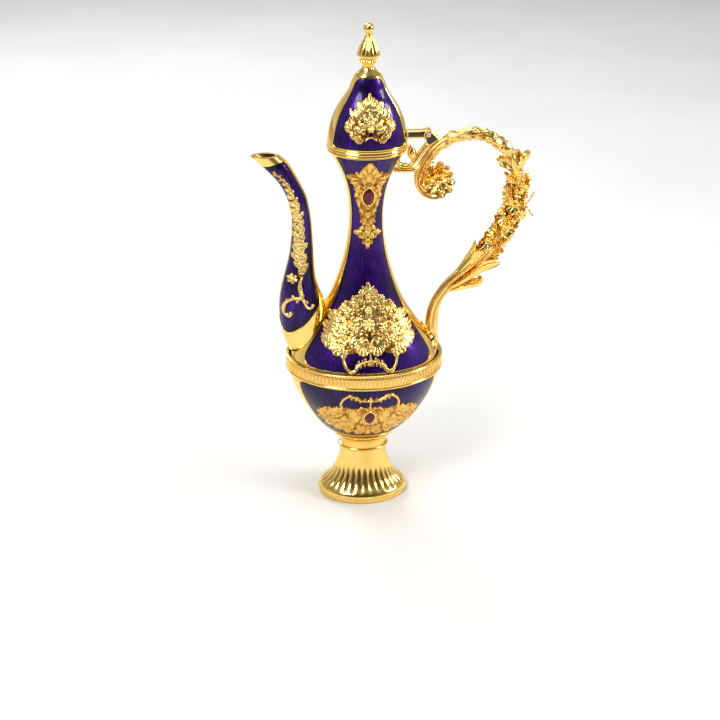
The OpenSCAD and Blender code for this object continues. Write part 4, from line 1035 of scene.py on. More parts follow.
def pressRelief(spec):
    plan = newPlan(*spec["box"])
    inside = insideLobes(plan, spec["lobes"], spec["ripple"])
    if "notch" in spec:
        z, r = spec["notch"]
        inside = np.minimum(inside, np.hypot(plan["x"], plan["z"] - z) - r)
    layGround(plan, inside, spec["ground"])
    fillLeaves(plan, inside, *spec["fill"])
    for k, (x, z, heading, radius, *rest) in enumerate(spec.get("shells", ())):
        mirrored(stampShell, plan, x, z, heading, radius, *rest)
        if k < spec.get("eyes", 0):
            reach = eye["inset"] * radius
            for s in (-1, 1):
                stampRosette(plan, s * (x - reach * math.cos(heading)), z - reach * math.sin(heading),
                             eye["radius"] * radius, eye["height"], eye["petals"])
    # Nothing so far may stand past the outline
    spare = inside + spec["slack"]
    plan["h"] = np.where(spare > 0, plan["h"], np.minimum(plan["h"], np.maximum(sunken, spare * edgeSlope)))
    for (height, bend, notches, lift), rows in spec["leaves"]:
        for row in rows:
            mirrored(stampLeaf, plan, *row, height, bend=bend, notches=notches, lift=lift)
    for s in (-1, 1):
        for x, *rest in spec.get("rosettes", ()):
            stampRosette(plan, s * x, *rest)
        for height, line in spec.get("strokes", ()):
            stampStroke(plan, [(s * x, z, r) for x, z, r in line], height)
    if "seat" in spec:
        z, r = spec["seat"]
        flat = np.hypot(plan["x"] / 4.4, (plan["z"] - z) / r) < 1
        plan["h"] = np.where(flat, np.minimum(plan["h"], 0.45), plan["h"])
    roughen(plan, *spec["grain"])
    plan["x"] = plan["x"] * spec.get("narrow", 1.0)
    return plan


for key, spec in reliefs.items():
    plan = pressRelief(spec)
    for facing, side in sides:
        layRelief(key + "Relief" + side.capitalize(), plan, skinSurface(spec["line"], facing), 1.3,
                  spec["material"], spec["body"], key + "_relief_" + side)
print("cast reliefs made")


# Stones and their settings

# A pointed oval: an arc from tip to tip, mirrored.
def marquise(halfWidth, halfHeight, count=15):
    arc = (halfHeight ** 2 + halfWidth ** 2) / (2 * halfWidth)
    limit = math.asin(halfHeight / arc)
    a = np.linspace(-limit, limit, count)
    x, z = arc * np.cos(a) - (arc - halfWidth), arc * np.sin(a)
    return np.concatenate([np.stack([x, z], 1), np.stack([-x, z], 1)[::-1][1:-1]])


stone = {
    # Facets as share of the outline and lift: a girdle, a crown that slopes in, and a flat table
    "facets": [(1.0, 0.5), (1.0, 1.3), (0.78, 2.05), (0.52, 2.5)],
    # Wider and taller than the stone, points and lift, for the wire and for the beads
    "wire": (0.35, 0.6, 25, 1.35), "beads": (1.3, 1.9, 19, 0.7), "wireRadius": 0.62, "beadRadius": 0.5,
}


def buildStones():
    gems, wires, beads = [], [], []
    for facing, _ in sides:
        for spec in (reliefs["neck"], reliefs["bowl"]):
            z, (w, h) = spec["seat"][0], spec["stone"]
            at = skinSurface(spec["line"], facing)
            foot_, head = (at(np.array([0.0]), np.array([z]), np.array([lift])) for lift in (0.0, 1.0))
            rim = marquise(w, h)
            rings = []
            for share, lift in stone["facets"]:
                ring = at(rim[:, 0] * share, rim[:, 1] * share + z, np.full(len(rim), 0.0))
                flat = ring * np.array([1, 0, 1]) + np.array([0, 1, 0]) * foot_
                rings.append(mix(ring, flat, 0.6) + (head - foot_) * lift)
            gems.append(ringStack(rings))
            for places, (wide, tall, count, lift) in ((wires, stone["wire"]), (beads, stone["beads"])):
                ring = marquise(w + wide, h + tall, count)
                places.append(at(ring[:, 0], ring[:, 1] + z, np.full(len(ring), lift)))
    finishPiece(addMesh("stones", *joined(gems), 12), redStone, "pot", "red_stone", "gems")
    gild(wired("stoneBezels", wires, stone["wireRadius"], 10), "gem_bezels")
    places = np.vstack(beads)
    beadPiece("bezelBeads", stone["beadRadius"], places, np.zeros((len(places), 3)))


buildStones()
print("stones set")


# The spout

spout = {
    "reach": 33.0, "rise": 110.0, "rootHeight": 130.5, "rootOut": 6.0, "seat": 0.45,
    "shellSink": 1.05, "wall": 1.3, "enamelThick": 0.9, "edgeThick": 0.95, "proud": 0.2,
    "innerEdge": 27.0,        # half angle of the gold edge that faces the neck
    "outerSeam": 3.5,         # half angle of the thin gold seam on the far side
    "gap": 0.6,               # degrees between enamel and gold edge
    "lipStart": 13.3,
    # Outer edge x and z, inner edge x and z as shares of reach and rise, then half depth
    "stations": [
        (0.26, -0.235, -0.345, 0.09, 12), (0.42, -0.15, -0.33, 0.112, 12.4),
        (0.485, -0.065, -0.315, 0.135, 12),
        (0.53, 0.045, -0.25, 0.19, 11), (0.52, 0.14, -0.19, 0.25, 9.8), (0.47, 0.225, -0.165, 0.31, 8.6),
        (0.4, 0.31, -0.15, 0.375, 7.7), (0.33, 0.4, -0.14, 0.45, 7.2), (0.29, 0.49, -0.125, 0.525, 6.8),
        (0.27, 0.58, -0.105, 0.605, 6.5), (0.29, 0.67, -0.065, 0.685, 6.3), (0.365, 0.75, 0.01, 0.768, 6.2),
        (0.51, 0.835, 0.175, 0.87, 6.1), (0.725, 0.91, 0.34, 0.955, 6), (1.03, 1, 0.5, 1, 5.9)],
    "steps": 12,
    # The station where the enamel starts, at angles between its two edges
    "footAngles": [40, 60, 78, 95, 115, 140, 165],
    "footStarts": [2.9, 1.85, 1.52, 1.40, 1.42, 1.50, 1.75, 2.2, 2.8],
    # Stations and sinks of the rolled lip
    "lip": [(13.3, 0.3), (13.34, -0.15), (13.6, -0.20), (13.85, -0.28), (13.96, -0.30), (14, 0.25),
            (13.97, 0.9), (13.8, 0.9), (13.4, 0.9)],
}
spoutRows = splinePoints(spout["stations"], spout["steps"])
spoutRootX = -radiusAt(bodyLine, spout["rootHeight"]) - spout["rootOut"]
lastStation = len(spout["stations"]) - 1
panelFrom, panelTo = spout["innerEdge"] + spout["gap"], 180 - spout["outerSeam"] - spout["gap"]


def spoutRow(t):
    place = np.clip(np.asarray(t, float), 0, lastStation) * spout["steps"]
    return np.stack([np.interp(place, np.arange(len(spoutRows)), spoutRows[:, k]) for k in range(5)], -1)


# Outer and inner edge of the spout, in x and z, for rows of the station table.
def spoutEdges(row):
    place = np.array([spoutRootX, spout["rootHeight"]])
    scale = np.array([-spout["reach"], spout["rise"]])
    return place + row[..., 0:2] * scale, place + row[..., 2:4] * scale


def shoulderHeight(x, y):
    keys = bodyLine[bodyLine[:, 1] <= neckZ]
    return np.interp(-np.hypot(x, y / pot["depth"]), -keys[:, 0], keys[:, 1])


# Point on the spout: t runs up the stations, angle 0 is the inner edge and 90 the front.
def spoutPoint(t, angle, sink):
    t, angle, sink = np.broadcast_arrays(np.asarray(t, float), np.radians(angle), np.asarray(sink, float))
    row = spoutRow(t)
    outer, inner = spoutEdges(row)
    middle, half = (outer + inner) / 2, (inner - outer) / 2
    width = np.linalg.norm(half, axis=-1)
    across = half * ((1 - sink / width) * np.cos(angle))[..., None]
    x, z = middle[..., 0] + across[..., 0], middle[..., 1] + across[..., 1]
    y = -(row[..., 4] - sink) * np.sin(angle)
    ground = shoulderHeight(x, y) + spout["seat"]
    z = np.where(t < 1e-6, ground, np.where(t < 2, np.maximum(z, ground), z))
    return np.stack([x, y, z], -1)


# Plan position on the side of the spout, seen square on: t and angle for each x and z.
def spoutAt(x, z):
    outer, inner = spoutEdges(spoutRows)
    (dx, dz), (px, pz) = (inner - outer).T, (x[:, None] - outer[:, 0], z[:, None] - outer[:, 1])
    side = dx * pz - dz * px
    along = (px * dx + pz * dz) / (dx ** 2 + dz ** 2)
    cross = (side[:, :-1] > 0) & (side[:, 1:] <= 0)
    near = np.abs(along[:, :-1] - 0.5) + np.where(cross, 0, 50)
    k = near.argmin(1)
    n = np.arange(len(x))
    a, b = side[n, k], side[n, k + 1]
    t = k + a / np.where(np.abs(a - b) < 1e-9, 1, a - b)
    share = mix(along[n, k], along[n, k + 1], t - k)
    return t / spout["steps"], np.degrees(np.arccos(np.clip(2 * share - 1, -1, 1)))


def spoutSurface(facing):
    def place(x, z, lift):
        return spoutPoint(*spoutAt(x, z), -lift) * np.array([1, -facing, 1])
    return place


def enamelStart(angle):
    return np.interp(angle, [panelFrom] + spout["footAngles"] + [panelTo], spout["footStarts"])


def buildSpout():
    around = np.arange(0, 360, 7.5)
    t = np.linspace(0, lastStation, 113)[:, None]
    outer, inner = (spoutPoint(t, around, spout["shellSink"] + deep) for deep in (0, spout["wall"]))
    gild(addMesh("spoutTube", *solidFromGrids(outer, inner, True)), "spout")

    # Enamel on each side, from a rounded foot up to the lip, with a bright line of gold round its foot.
    rows, cols = 150, 40
    u, v = np.linspace(0, 1, rows)[:, None], np.linspace(0, 1, cols)[None, :]
    angle = mix(panelFrom, panelTo, v) + 0 * u
    start = enamelStart(angle)
    edge = np.minimum(np.minimum(v, 1 - v) * cols * 0.22, np.minimum(u, 1 - u) * rows * 0.22)
    lift = 0.1 * smoothStep(edge / 1.2) - 0.12 * (1 - smoothStep(edge / 0.5))
    top = spoutPoint(start + (spout["lipStart"] - start) * u, angle, -lift)
    bottom = spoutPoint(start + (spout["lipStart"] - start) * u, angle, spout["enamelThick"])
    rim = spoutPoint(start[0] - 0.02, angle[0], -0.12)
    # inward carries the painted shade along the enamel's edges.
    inward = np.tile(smoothStep(edge / 2.2).ravel(), 2)
    for facing, side in sides:
        turn = np.array([1, -facing, 1])
        piece = addMesh("spoutEnamel" + side.capitalize(), *solidFromGrids(top * turn, bottom * turn), 50,
                        {"inward": inward})
        finishPiece(piece, enamel, "pot", "violet_enamel", "spout_enamel_" + side)
        gild(wired("spoutRim" + side.capitalize(), [rim * turn], 0.42, 8, closed=False))

    # Gold below the panels, and the two gold edges up the length of the spout.
    parts = []
    angle = np.linspace(panelFrom, panelTo, 60)[None, :] + np.zeros((12, 1))
    t = (enamelStart(angle) - 0.04) * np.linspace(0, 1, 12)[:, None]
    for flip in (1, -1):
        turn = np.array([1, flip, 1])
        parts.append(solidFromGrids(spoutPoint(t, angle, -0.05) * turn,
                                    spoutPoint(t, angle, spout["edgeThick"]) * turn))
    t = np.linspace(0, spout["lipStart"], 110)[:, None]
    v = np.linspace(-1, 1, 13)[None, :]
    crown = spout["proud"] * np.sqrt(np.clip(1 - v ** 2, 0, 1))
    for middle, half in ((0, spout["innerEdge"]), (180, spout["outerSeam"])):
        angle = middle + v * half
        parts.append(solidFromGrids(spoutPoint(t, angle, -crown), spoutPoint(t, angle, spout["edgeThick"])))
    gild(addMesh("spoutEdges", *joined(parts), 45), "spout_edges")

    # The lip: a rolled rim round the open mouth.
    grid = np.stack([spoutPoint(t, around, sink) for t, sink in spout["lip"]])
    index = np.arange(grid[..., 0].size).reshape(grid.shape[:2])
    faces = quadsOf(np.vstack([index, index[:1]]), True).tolist()
    gild(addMesh("spoutLip", grid.reshape(-1, 3), faces), "spout_lip")


# The vine: leafy sprays that climb the side, on a twisted stem that springs from scrolls.
vineShape = {
    # x, z and width down the side of the spout
    "line": [(-57.8, 231.0, 0.5), (-54.8, 228.0, 0.9), (-51.6, 224.6, 1.3), (-48.9, 220.3, 1.7),
             (-47.0, 214.2, 2.1), (-44.9, 208.6, 2.5), (-43.7, 203.0, 2.8), (-43.2, 196.5, 3.0),
             (-42.6, 190.0, 3.3), (-42.6, 184.0, 3.5), (-43.1, 178.5, 3.8), (-42.2, 173.2, 3.8),
             (-41.0, 168.0, 3.3), (-42.0, 162.6, 2.1)],
    "stem": [(-42.2, 160.6), (-43.0, 157.0), (-42.7, 153.5), (-41.8, 149.2)],
    # Height of the stroke, its line, then a round bead in its eye: x, z, radius, height
    "scrolls": [
        (1.05, [(-41.6, 147.6, 0.8), (-44.6, 148.2, 0.95), (-48.6, 147.4, 1.0), (-51.8, 144.6, 1.05),
                (-53.2, 140.6, 1.1), (-52.2, 137.0, 1.1), (-49.6, 135.8, 1.0), (-48.4, 137.4, 0.8)],
         (-48.9, 137.6, 1.5, 1.25)),
        (1.0, [(-41.4, 148.6, 0.85), (-40.2, 145.4, 0.9), (-38.4, 142.0, 0.95), (-36.4, 141.0, 0.95),
               (-34.9, 142.3, 0.9)], (-35.0, 142.6, 1.25, 1.2))],
    # x, z, heading, length, width, height, lift
    "leaves": [(-56.4, 229.6, 2.35, 3.6, 1.5, 0.9, 0), (-56.6, 229.2, 3.0, 2.6, 1.3, 0.9, 0),
               (-43.4, 147.4, -2.4, 3.2, 2.0, 0.95, 0.15), (-46.2, 147.6, 2.2, 3.2, 2.0, 0.95, 0.15),
               (-40.2, 146.2, -0.5, 3.2, 2.0, 0.95, 0.15), (-42.0, 148.4, 1.9, 3.4, 2.0, 0.95, 0.15),
               (-41.4, 148.6, -1.3, 3.6, 2.0, 0.95, 0.15), (-50.6, 145.2, 1.9, 2.6, 2.0, 0.95, 0.15)],
}


def vinePlan():
    plan = newPlan(-66, -28, 128, 236, 0.30)
    line = splinePoints(vineShape["line"], 7)
    inside = np.full(plan["x"].shape, -9.0)
    rng = np.random.default_rng(61)
    for k, (x, z, w) in enumerate(line):
        shift = 0.55 * w * math.sin(k * 0.9)
        reach = np.hypot(plan["x"] - x - 0.6 * shift, plan["z"] - z + 0.2 * shift)
        inside = np.maximum(inside, 0.72 * w - reach)
    layGround(plan, inside, 0.15)
    for k in range(len(line) - 3, 1, -3):
        x, z, w = line[k]
        ahead = line[k - 2] - line[k]
        heading = math.atan2(ahead[1], ahead[0])
        side = 1 if k % 2 else -1
        stampLeaf(plan, x, z, heading + side * rng.uniform(0.55, 0.95), 1.75 * w + 0.6, 1.15 * w + 0.3, 0.95,
                  bend=-0.15 * side, notches=2, lift=rng.uniform(0.05, 0.2))
        if k % 2:
            stampLeaf(plan, x, z, heading - side * rng.uniform(0.2, 0.6), 1.5 * w + 0.5, 0.95 * w + 0.3, 0.95,
                      bend=0.12 * side, notches=2, lift=rng.uniform(0.1, 0.25))
    for k in range(6, len(line) - 4, 9):
        x, z, w = line[k]
        stampRosette(plan, x + 0.35 * w * math.sin(k), z, 0.62 * w, 1.15, 5, lift=0.25, spin=k)
    stampRosette(plan, -47.4, 161.0, 3.4, 1.15, 6, lift=0.1, spin=0.4)
    # Twisted stem: slanting strokes, each tucked behind the last
    for x, z in splinePoints(vineShape["stem"], 3):
        stampStroke(plan, [(x - 0.9, z - 0.9, 0.55), (x, z, 0.8), (x + 0.9, z + 0.9, 0.55)], 1.0, 4)
    for height, stroke, (x, z, radius, tall) in vineShape["scrolls"]:
        stampStroke(plan, stroke, height)
        stampBead(plan, x, z, radius, tall)
    for *place, lift in vineShape["leaves"]:
        stampLeaf(plan, *place, notches=1, lift=lift)
    roughen(plan, 13, 0.016)
    return plan


buildSpout()
vine = vinePlan()
for facing, side in sides:
    layRelief("spoutVine" + side.capitalize(), vine, spoutSurface(facing), 1.25, goldCast, "pot",
              "spout_vine_" + side)
print("spout made")


# The handle

handle = {
    "reach": 55.0, "footHeight": 120.0, "topHeight": 251.5, "scrollHeight": 42.0, "scrollShare": 0.68,
    "rod": 4.0, "sides": 48, "steps": 14, "knots": 420, "pits": 190, "seed": 17,
    "strand": 0.88,            # the rod without its ripple, as a share of its radius
    "stemTo": 9.0, "barkFrom": 12.2, "scrollFrom": 17.6,
    "grooves": (104, 256),     # between the smooth strand and the bark strand of the scroll
    # Share of the way up, share of the bow, and radius as a share of the rod's
    "stations": [
        (0.049, 0.029, 1.1), (0.111, 0.072, 0.95), (0.172, 0.151, 0.92), (0.22, 0.27, 0.98),
        (0.281, 0.428, 1.1), (0.348, 0.595, 1.2), (0.413, 0.738, 1.15), (0.479, 0.87, 1.05),
        (0.545, 0.96, 1), (0.62, 1.02, 1), (0.697, 1.045, 1), (0.773, 1.05, 1.05),
        (0.834, 1.03, 1.1), (0.886, 0.965, 1.08), (0.932, 0.868, 1.05), (0.975, 0.718, 1),
        (1, 0.522, 1), (0.984, 0.304, 0.98), (0.954, 0.167, 0.95), (0.921, 0.075, 0.92),
        (0.883, 0.005, 0.9), (0.84, -0.055, 0.88), (0.795, -0.093, 0.86), (0.745, -0.079, 0.8),
        (0.704, -0.002, 0.72), (0.689, 0.113, 0.62), (0.711, 0.215, 0.54), (0.75, 0.24, 0.48),
        (0.779, 0.185, 0.42)],
    # The stem stands upright on the shoulder: x, z and radius in place of the first three stations
    "stem": [(44.2, 119.5, 4.8), (44.5, 127.2, 4.2), (45.8, 135.0, 3.9), (49.0, 142.3, 3.8)],
}
hinge = (37.5, 252.0)
backward = np.array([0, 1, 0])


def handlePlace(high, bow):
    h = handle
    knee = h["topHeight"] - h["scrollHeight"]
    if high < h["scrollShare"]:
        z = mix(h["footHeight"], knee, high / h["scrollShare"])
    else:
        z = mix(knee, h["topHeight"], (high - h["scrollShare"]) / (1 - h["scrollShare"]))
    return mix(radiusAt(bodyLine, h["footHeight"]), hinge[0], high) + bow * h["reach"], z


handleKeys = [(*handlePlace(a, b), c * handle["rod"]) for a, b, c in handle["stations"]]
handleRows = splinePoints(handle["stem"] + handleKeys[3:], handle["steps"])


# Place, direction of travel, inward direction and radius at t stations along the handle.
def handleFrame(t):
    k = np.clip(t * handle["steps"], 0, len(handleRows) - 1)
    x, z, r = (np.interp(k, np.arange(len(handleRows)), handleRows[:, j]) for j in range(3))
    i = int(min(max(k, 1), len(handleRows) - 2))
    d = unit(handleRows[i + 1, :2] - handleRows[i - 1, :2])
    return np.array([x, 0, z]), np.array([d[0], 0, d[1]]), np.array([-d[1], 0, d[0]]), float(r)


# A bent blade with some thickness; its hollow faces the opening direction.
def blade(path, halves, opening, cup=0.4, thick=0.6, cols=9, steps=5, ribs=0.0, notches=0, blunt=0.0):
    rows = splinePoints([(*p, h) for p, h in zip(path, halves)], steps)
    line, half = rows[:, :3], rows[:, 3]
    tangent = unit(np.gradient(line, axis=0))
    o = np.broadcast_to(np.asarray(opening, float), line.shape)
    o = unit(o - tangent * (o * tangent).sum(1, keepdims=True))
    side = np.cross(tangent, o)
    v = np.linspace(-1, 1, cols)[None, :]
    u = np.linspace(0, 1, len(rows))[:, None]
    if notches:
        half = half * (1 - 0.16 * np.abs(np.cos(math.pi * notches * u[:, 0])))
    if blunt:
        half = half * np.sqrt(np.clip(1 - np.clip((u[:, 0] - 1 + blunt) / blunt, 0, 0.985) ** 2, 0, 1))
    h = half[:, None]
    rise = cup * h * v ** 2 + ribs * np.cos(3 * math.pi * v) * (1 - v ** 2) * np.sin(math.pi * u)
    wall = thick * (1 - 0.55 * v ** 2) * (0.45 + 0.55 * np.sqrt(np.clip(1 - u ** 3, 0, 1)))
    top = line[:, None] + side[:, None] * (h * v)[..., None] + o[:, None] * rise[..., None]
    return solidFromGrids(top, top - o[:, None] * wall[..., None])


def buildRod():
    h = handle
    rng = np.random.default_rng(h["seed"])
    rows, count = len(handleRows), h["sides"]
    t = np.arange(rows) / h["steps"]
    a = ringAngles(count)
    lengths = np.concatenate([[0], np.cumsum(np.hypot(*np.diff(handleRows[:, :2], axis=0).T))])
    # Flutes up the stem
    stem = smoothStep((h["stemTo"] - t) / 3.0) * smoothStep(t)
    ripple = (0.50 * np.cos(6 * a[None, :] + 0.32 * t[:, None])) * stem[:, None]
    # Knotted bark over the arch; on the scroll it keeps to the inner strand
    bark = smoothStep((t - h["barkFrom"]) / 0.6)
    scroll = smoothStep((t - h["scrollFrom"]) / 1.6)
    innerSide = smoothStep((np.cos(a) + 0.10) / 0.35)
    weight = bark[:, None] * mix(1.0, innerSide[None, :], scroll[:, None])
    first = int(h["barkFrom"] * h["steps"])
    for bumps, low, high, sign in ((h["knots"], 0.4, 1.0, 1), (h["pits"], 0.4, 0.8, -1)):
        for _ in range(bumps):
            at = rng.uniform(lengths[first], lengths[-1])
            turn, size, tall = rng.uniform(0, tau), rng.uniform(0.7, 1.5), rng.uniform(low, high)
            turned = (a - turn + math.pi) % tau - math.pi
            near = ((lengths - at)[:, None] / (1.5 * size)) ** 2 + (turned[None, :] * 3.8 / size) ** 2
            ripple += sign * tall * np.exp(-near * 1.6) * weight
    ripple = np.clip(ripple, -0.95, 1.05) * np.clip(handleRows[:, 2:3] / h["rod"], 0.45, 1)
    for groove in h["grooves"]:
        ripple -= 0.75 * np.exp(-((a - math.radians(groove)) / 0.20) ** 2)[None, :] * scroll[:, None]
    path = np.stack([handleRows[:, 0], 0 * t, handleRows[:, 1]], -1)
    verts, faces = sweptTube(path, handleRows[:, 2] * h["strand"], count, ripple=ripple)
    # The lowest ring spreads on the shoulder
    ring = verts[:count]
    ring[:, :2] = path[0, :2] + (ring[:, :2] - path[0, :2]) * 1.08
    ring[:, 2] = shoulderHeight(ring[:, 0], ring[:, 1]) - 0.5
    verts[rows * count] = ring.mean(0)
    # rise follows the bark's height, so the gold puts painted shade in its pits and grooves.
    rise = np.append(np.clip(0.62 + 0.55 * ripple, 0.05, 1).ravel(), [0.6, 0.6])
    piece = addMesh("handleRod", verts, faces, 0, {"rise": rise})
    finishPiece(piece, goldBark, "pot", "polished_gilt", "handle")


# A flared cup along an axis, with lobes round its mouth and grooves between them.
def lobedCup(base, axis, length, narrow, wide, lobes, spin=0.0, lean=0.0, dip=0.42, roll=0.16, thick=0.8):
    axis = unit(np.array(axis, float))
    across = unit(np.cross(axis, backward))
    deep = np.cross(axis, across)
    u = np.linspace(0, 1, 22)[:, None]
    a = ringAngles(16 * lobes)[None, :]
    lobe = np.abs(np.cos(lobes * (a - spin) / 2))
    z = u * length * (1 - dip * (1 - lobe ** 0.6) + lean * np.cos(a))
    flare = smoothStep(u) * 0.55 + u ** 3 * 0.45
    out = mix(narrow, wide, flare) * (1 - 0.20 * (1 - lobe ** 0.6) * smoothStep(u * 1.6))
    out = out + roll * wide * np.clip((u - 0.8) / 0.2, 0, 1) ** 2
    wall = thick * mix(1.0, 0.45, u)

    def grid(radius, height):
        return (np.array(base) + across * (radius * np.cos(a))[..., None]
                + deep * (radius * np.sin(a))[..., None] + axis * height[..., None])

    inner = grid(np.maximum(out - wall, 0.12), z + 0.25 * wall * smoothStep((u - 0.9) / 0.1))
    return solidFromGrids(grid(out, z), inner, True)


leafwork = {
    # The tulip that the bark arch grows out of, and a long hollow leaf that wraps the stem
    "cups": [((95.4, 0, 222.6), (0.24, 0, 0.97), 16.6, 2.0, 4.3, 4, math.pi / 4, -0.03, 0.26, 0.22),
             ((50.4, 0, 145.4), (0.63, 0, 0.777), 38.5, 1.4, 5.3, 3, 0.0, 0.03, 0.13, 0.16)],
    # Leaves in pairs, with y to the front: path, half widths, opening, cup, steps, ribs, bluntness
    "pairs": [
        ([(95.0, 1.6, 222.4), (92.4, 3.5, 227.0), (88.6, 4.2, 230.8), (85.0, 4.0, 232.4), (82.8, 3.2, 231.6)],
         [1.2, 2.3, 2.7, 2.6, 1.2], (0.35, 1.0, 0.6), 0.45, 6, 0.25, 0.2),
        ([(94.8, 3.0, 219.8), (94.6, 4.3, 225.0), (92.9, 4.7, 231.0), (90.6, 5.3, 235.6)],
         [1.2, 2.1, 2.0, 0.4], (0.2, 1.0, 0), -0.35, 6, 0.25, 0.0),
        ([(51.6, 1.8, 146.2), (58.0, 3.9, 151.0), (66.0, 5.0, 157.4), (75.0, 5.2, 162.8), (82.0, 4.4, 164.8),
          (87.4, 3.2, 165.0)], [0.6, 2.0, 2.9, 3.1, 2.9, 1.6], (0.4, 0.9, -0.5), 0.5, 6, 0.25, 0.16),
        ([(52.8, 0.8, 144.8), (58.6, 2.2, 147.4), (64.4, 2.8, 149.6), (70.0, 2.8, 150.4), (74.4, 2.2, 151.8),
          (76.6, 1.4, 154.4)], [0.6, 2.2, 2.9, 3.0, 2.8, 1.6], (0.30, 0.8, -0.8), 0.5, 5, 0.3, 0.18)],
    # Leaves that clasp the shoulder at the foot: direction round it, reach, half width
    "clasps": [(180, 13.5, 2.1), (128, 9.6, 2.5), (-128, 9.6, 2.5), (74, 9.4, 2.6), (-74, 9.4, 2.6),
               (26, 8.6, 2.4), (-26, 8.6, 2.4)],
    "claspFoot": (44.3, 0.0), "claspNormal": (0.82, 0, 0.57),
    # Share of the reach, lift off the shoulder, share of the half width
    "claspRows": [(0.40, 4.05, 0.45), (0.50, 2.9, 0.85), (0.64, 1.35, 1.0), (0.82, 0.75, 0.85),
                  (1.0, 1.5, 0)],
    "claspTip": 0.3,
}


def buildLeaves():
    w = leafwork
    parts = [lobedCup(*cup) for cup in w["cups"]]
    for path, halves, opening, cup, steps, ribs, blunt in w["pairs"]:
        for flip in (1, -1):
            turn = np.array([1, -flip, 1])
            parts.append(blade(path * turn, halves, opening * turn, cup, 0.8, 11, steps, ribs, blunt=blunt))
    spot, normal = np.array(w["claspFoot"]), np.array(w["claspNormal"])
    for way, reach, half in w["clasps"]:
        d = np.array([normal[2] * math.cos(math.radians(way)), math.sin(math.radians(way))])
        route = []
        for share, lift, _ in w["claspRows"]:
            x, y = spot + d * reach * share
            route.append(np.array([x, y, float(shoulderHeight(x, y))]) + normal * lift)
        halves = [share * half for _, _, share in w["claspRows"][:-1]] + [w["claspTip"]]
        parts.append(blade(route, halves, normal, -0.30, 0.8, 9, 5, 0.22, notches=3))
    gild(addMesh("handleLeaves", *joined(parts), 50), "handle_leaves")


# Open flower in its own plane, petals cupped towards +Z.
def flowerShape(name, petals, reach, width, tip):
    parts = []
    for a in ringAngles(petals):
        c, s = math.cos(a), math.sin(a)
        rise = ((0.4, -0.3), (reach * 0.42, 0.35), (reach * 0.78, 0.85), (reach, tip))
        route = [(c * d, s * d, h) for d, h in rise]
        parts.append(blade(route, [0.45, width, width, 0.5], (0, 0, 1), 0.34, 0.45, 5, 2, blunt=0.3))
    parts.append(ball((0, 0, 0.7), 0.26 * reach, (1, 1, 0.9)))
    parts.append(ball((0, 0, -0.6), 0.40 * reach, (1, 1, 0.5), 1))
    return looseObject(name, *joined(parts))


bloom = {
    "turn": 2.39996,           # golden angle, so that no two neighbours face the same way
    # From, to, count, start of the turn, tilt, lift off the rod, size, kinds in turn, tilt drawn first
    "rounds": [
        (6.9, 12.1, 24, 0.4, 0.5, (0.5, 1.5), (0.9, 1.16), ["pointedFlower", "openFlower", "openFlower"],
         True),
        (6.7, 12.4, 30, 2.1, 0.9, (0.0, 0.9), (0.7, 1.1), ["sprig", "bud"], False)],
}


def buildFlowers():
    rng = np.random.default_rng(handle["seed"] + 5)
    sprig = blade([(0, 0, -0.5), (0.6, 0, 1.6), (1.6, 0, 3.4), (3.4, 0, 4.6)], [0.6, 1.6, 1.5, 0.15],
                  (1, 0, 0.3), 0.3, 0.45, 5, 3)
    bud = [ball((0, 0, 0), 1.25, (1, 1, 1.15)), ball((0, 0, 1.2), 0.5, (1, 1, 1.4), 1)]
    shapes = {
        "openFlower": flowerShape("openFlower", 6, 5.2, 1.75, 2.2),
        "pointedFlower": flowerShape("pointedFlower", 7, 5.6, 1.35, 1.5),
        "bud": looseObject("bud", *joined(bud)),
        "sprig": looseObject("sprig", *sprig),
    }
    layers = {kind: ([], [], []) for kind in shapes}
    for low, high, count, start, tilt, lift, size, kinds, tiltFirst in bloom["rounds"]:
        for k in range(count):
            place, travel, inwardDir, r = handleFrame(mix(low, high, (k + 0.5) / count))
            a = k * bloom["turn"] + start
            outward = inwardDir * math.cos(a) + backward * math.sin(a)
            draws = [(-tilt, tilt), lift] if tiltFirst else [lift, (-tilt, tilt)]
            first, second = (rng.uniform(*span) for span in draws)
            lean, raised = (first, second) if tiltFirst else (second, first)
            turn = turnTo(outward + travel * lean, rng.uniform(0, 6))
            row = place + outward * (r + raised), turn, rng.uniform(*size)
            for values, value in zip(layers[kinds[k % len(kinds)]], row):
                values.append(value)
    for kind, rows in layers.items():
        node = ["handle_flowers"] if kind == "openFlower" else []
        gild(scattered(kind + "s", shapes[kind], *rows, goldPolished, 45), *node)


rosette = {
    "place": (0.754, 0.119), "raise": 2.4, "seat": 2.3,
    # Petals, first turn, path out and up, half widths, ribs
    "tiers": [(10, 0.0, [(1.5, 0.0), (4.4, 1.1), (7.6, 1.7), (9.6, 2.4), (10.6, 3.5)],
               [0.9, 1.8, 2.4, 2.3, 1.3], 0.34),
              (8, 0.31, [(1.0, 1.2), (3.0, 2.2), (5.2, 2.9), (6.8, 3.8)], [0.7, 1.4, 1.7, 1.0], 0.30)],
    # Height over the seat, radius, flattening, fineness
    "balls": [(3.6, 1.75, 0.9, 3), (0.6, 3.2, 0.55, 2)],
}


def buildRosettes():
    x, z = handlePlace(*rosette["place"])
    z, y = z + rosette["raise"], rosette["seat"]
    parts = []
    for flip in (1, -1):
        for count, offset, route, halves, ribs in rosette["tiers"]:
            for a in ringAngles(count) + offset:
                path = [(x + d * math.cos(a), -flip * (y + w), z + d * math.sin(a)) for d, w in route]
                parts.append(blade(path, halves, (0, -flip, 0), 0.30, ribs=ribs, blunt=0.2))
        for high, radius, squash, detail in rosette["balls"]:
            parts.append(ball((x, -flip * (y + high), z), radius, (1, squash, 1), detail))
    gild(addMesh("handleRosettes", *joined(parts), 50), "handle_rosettes")


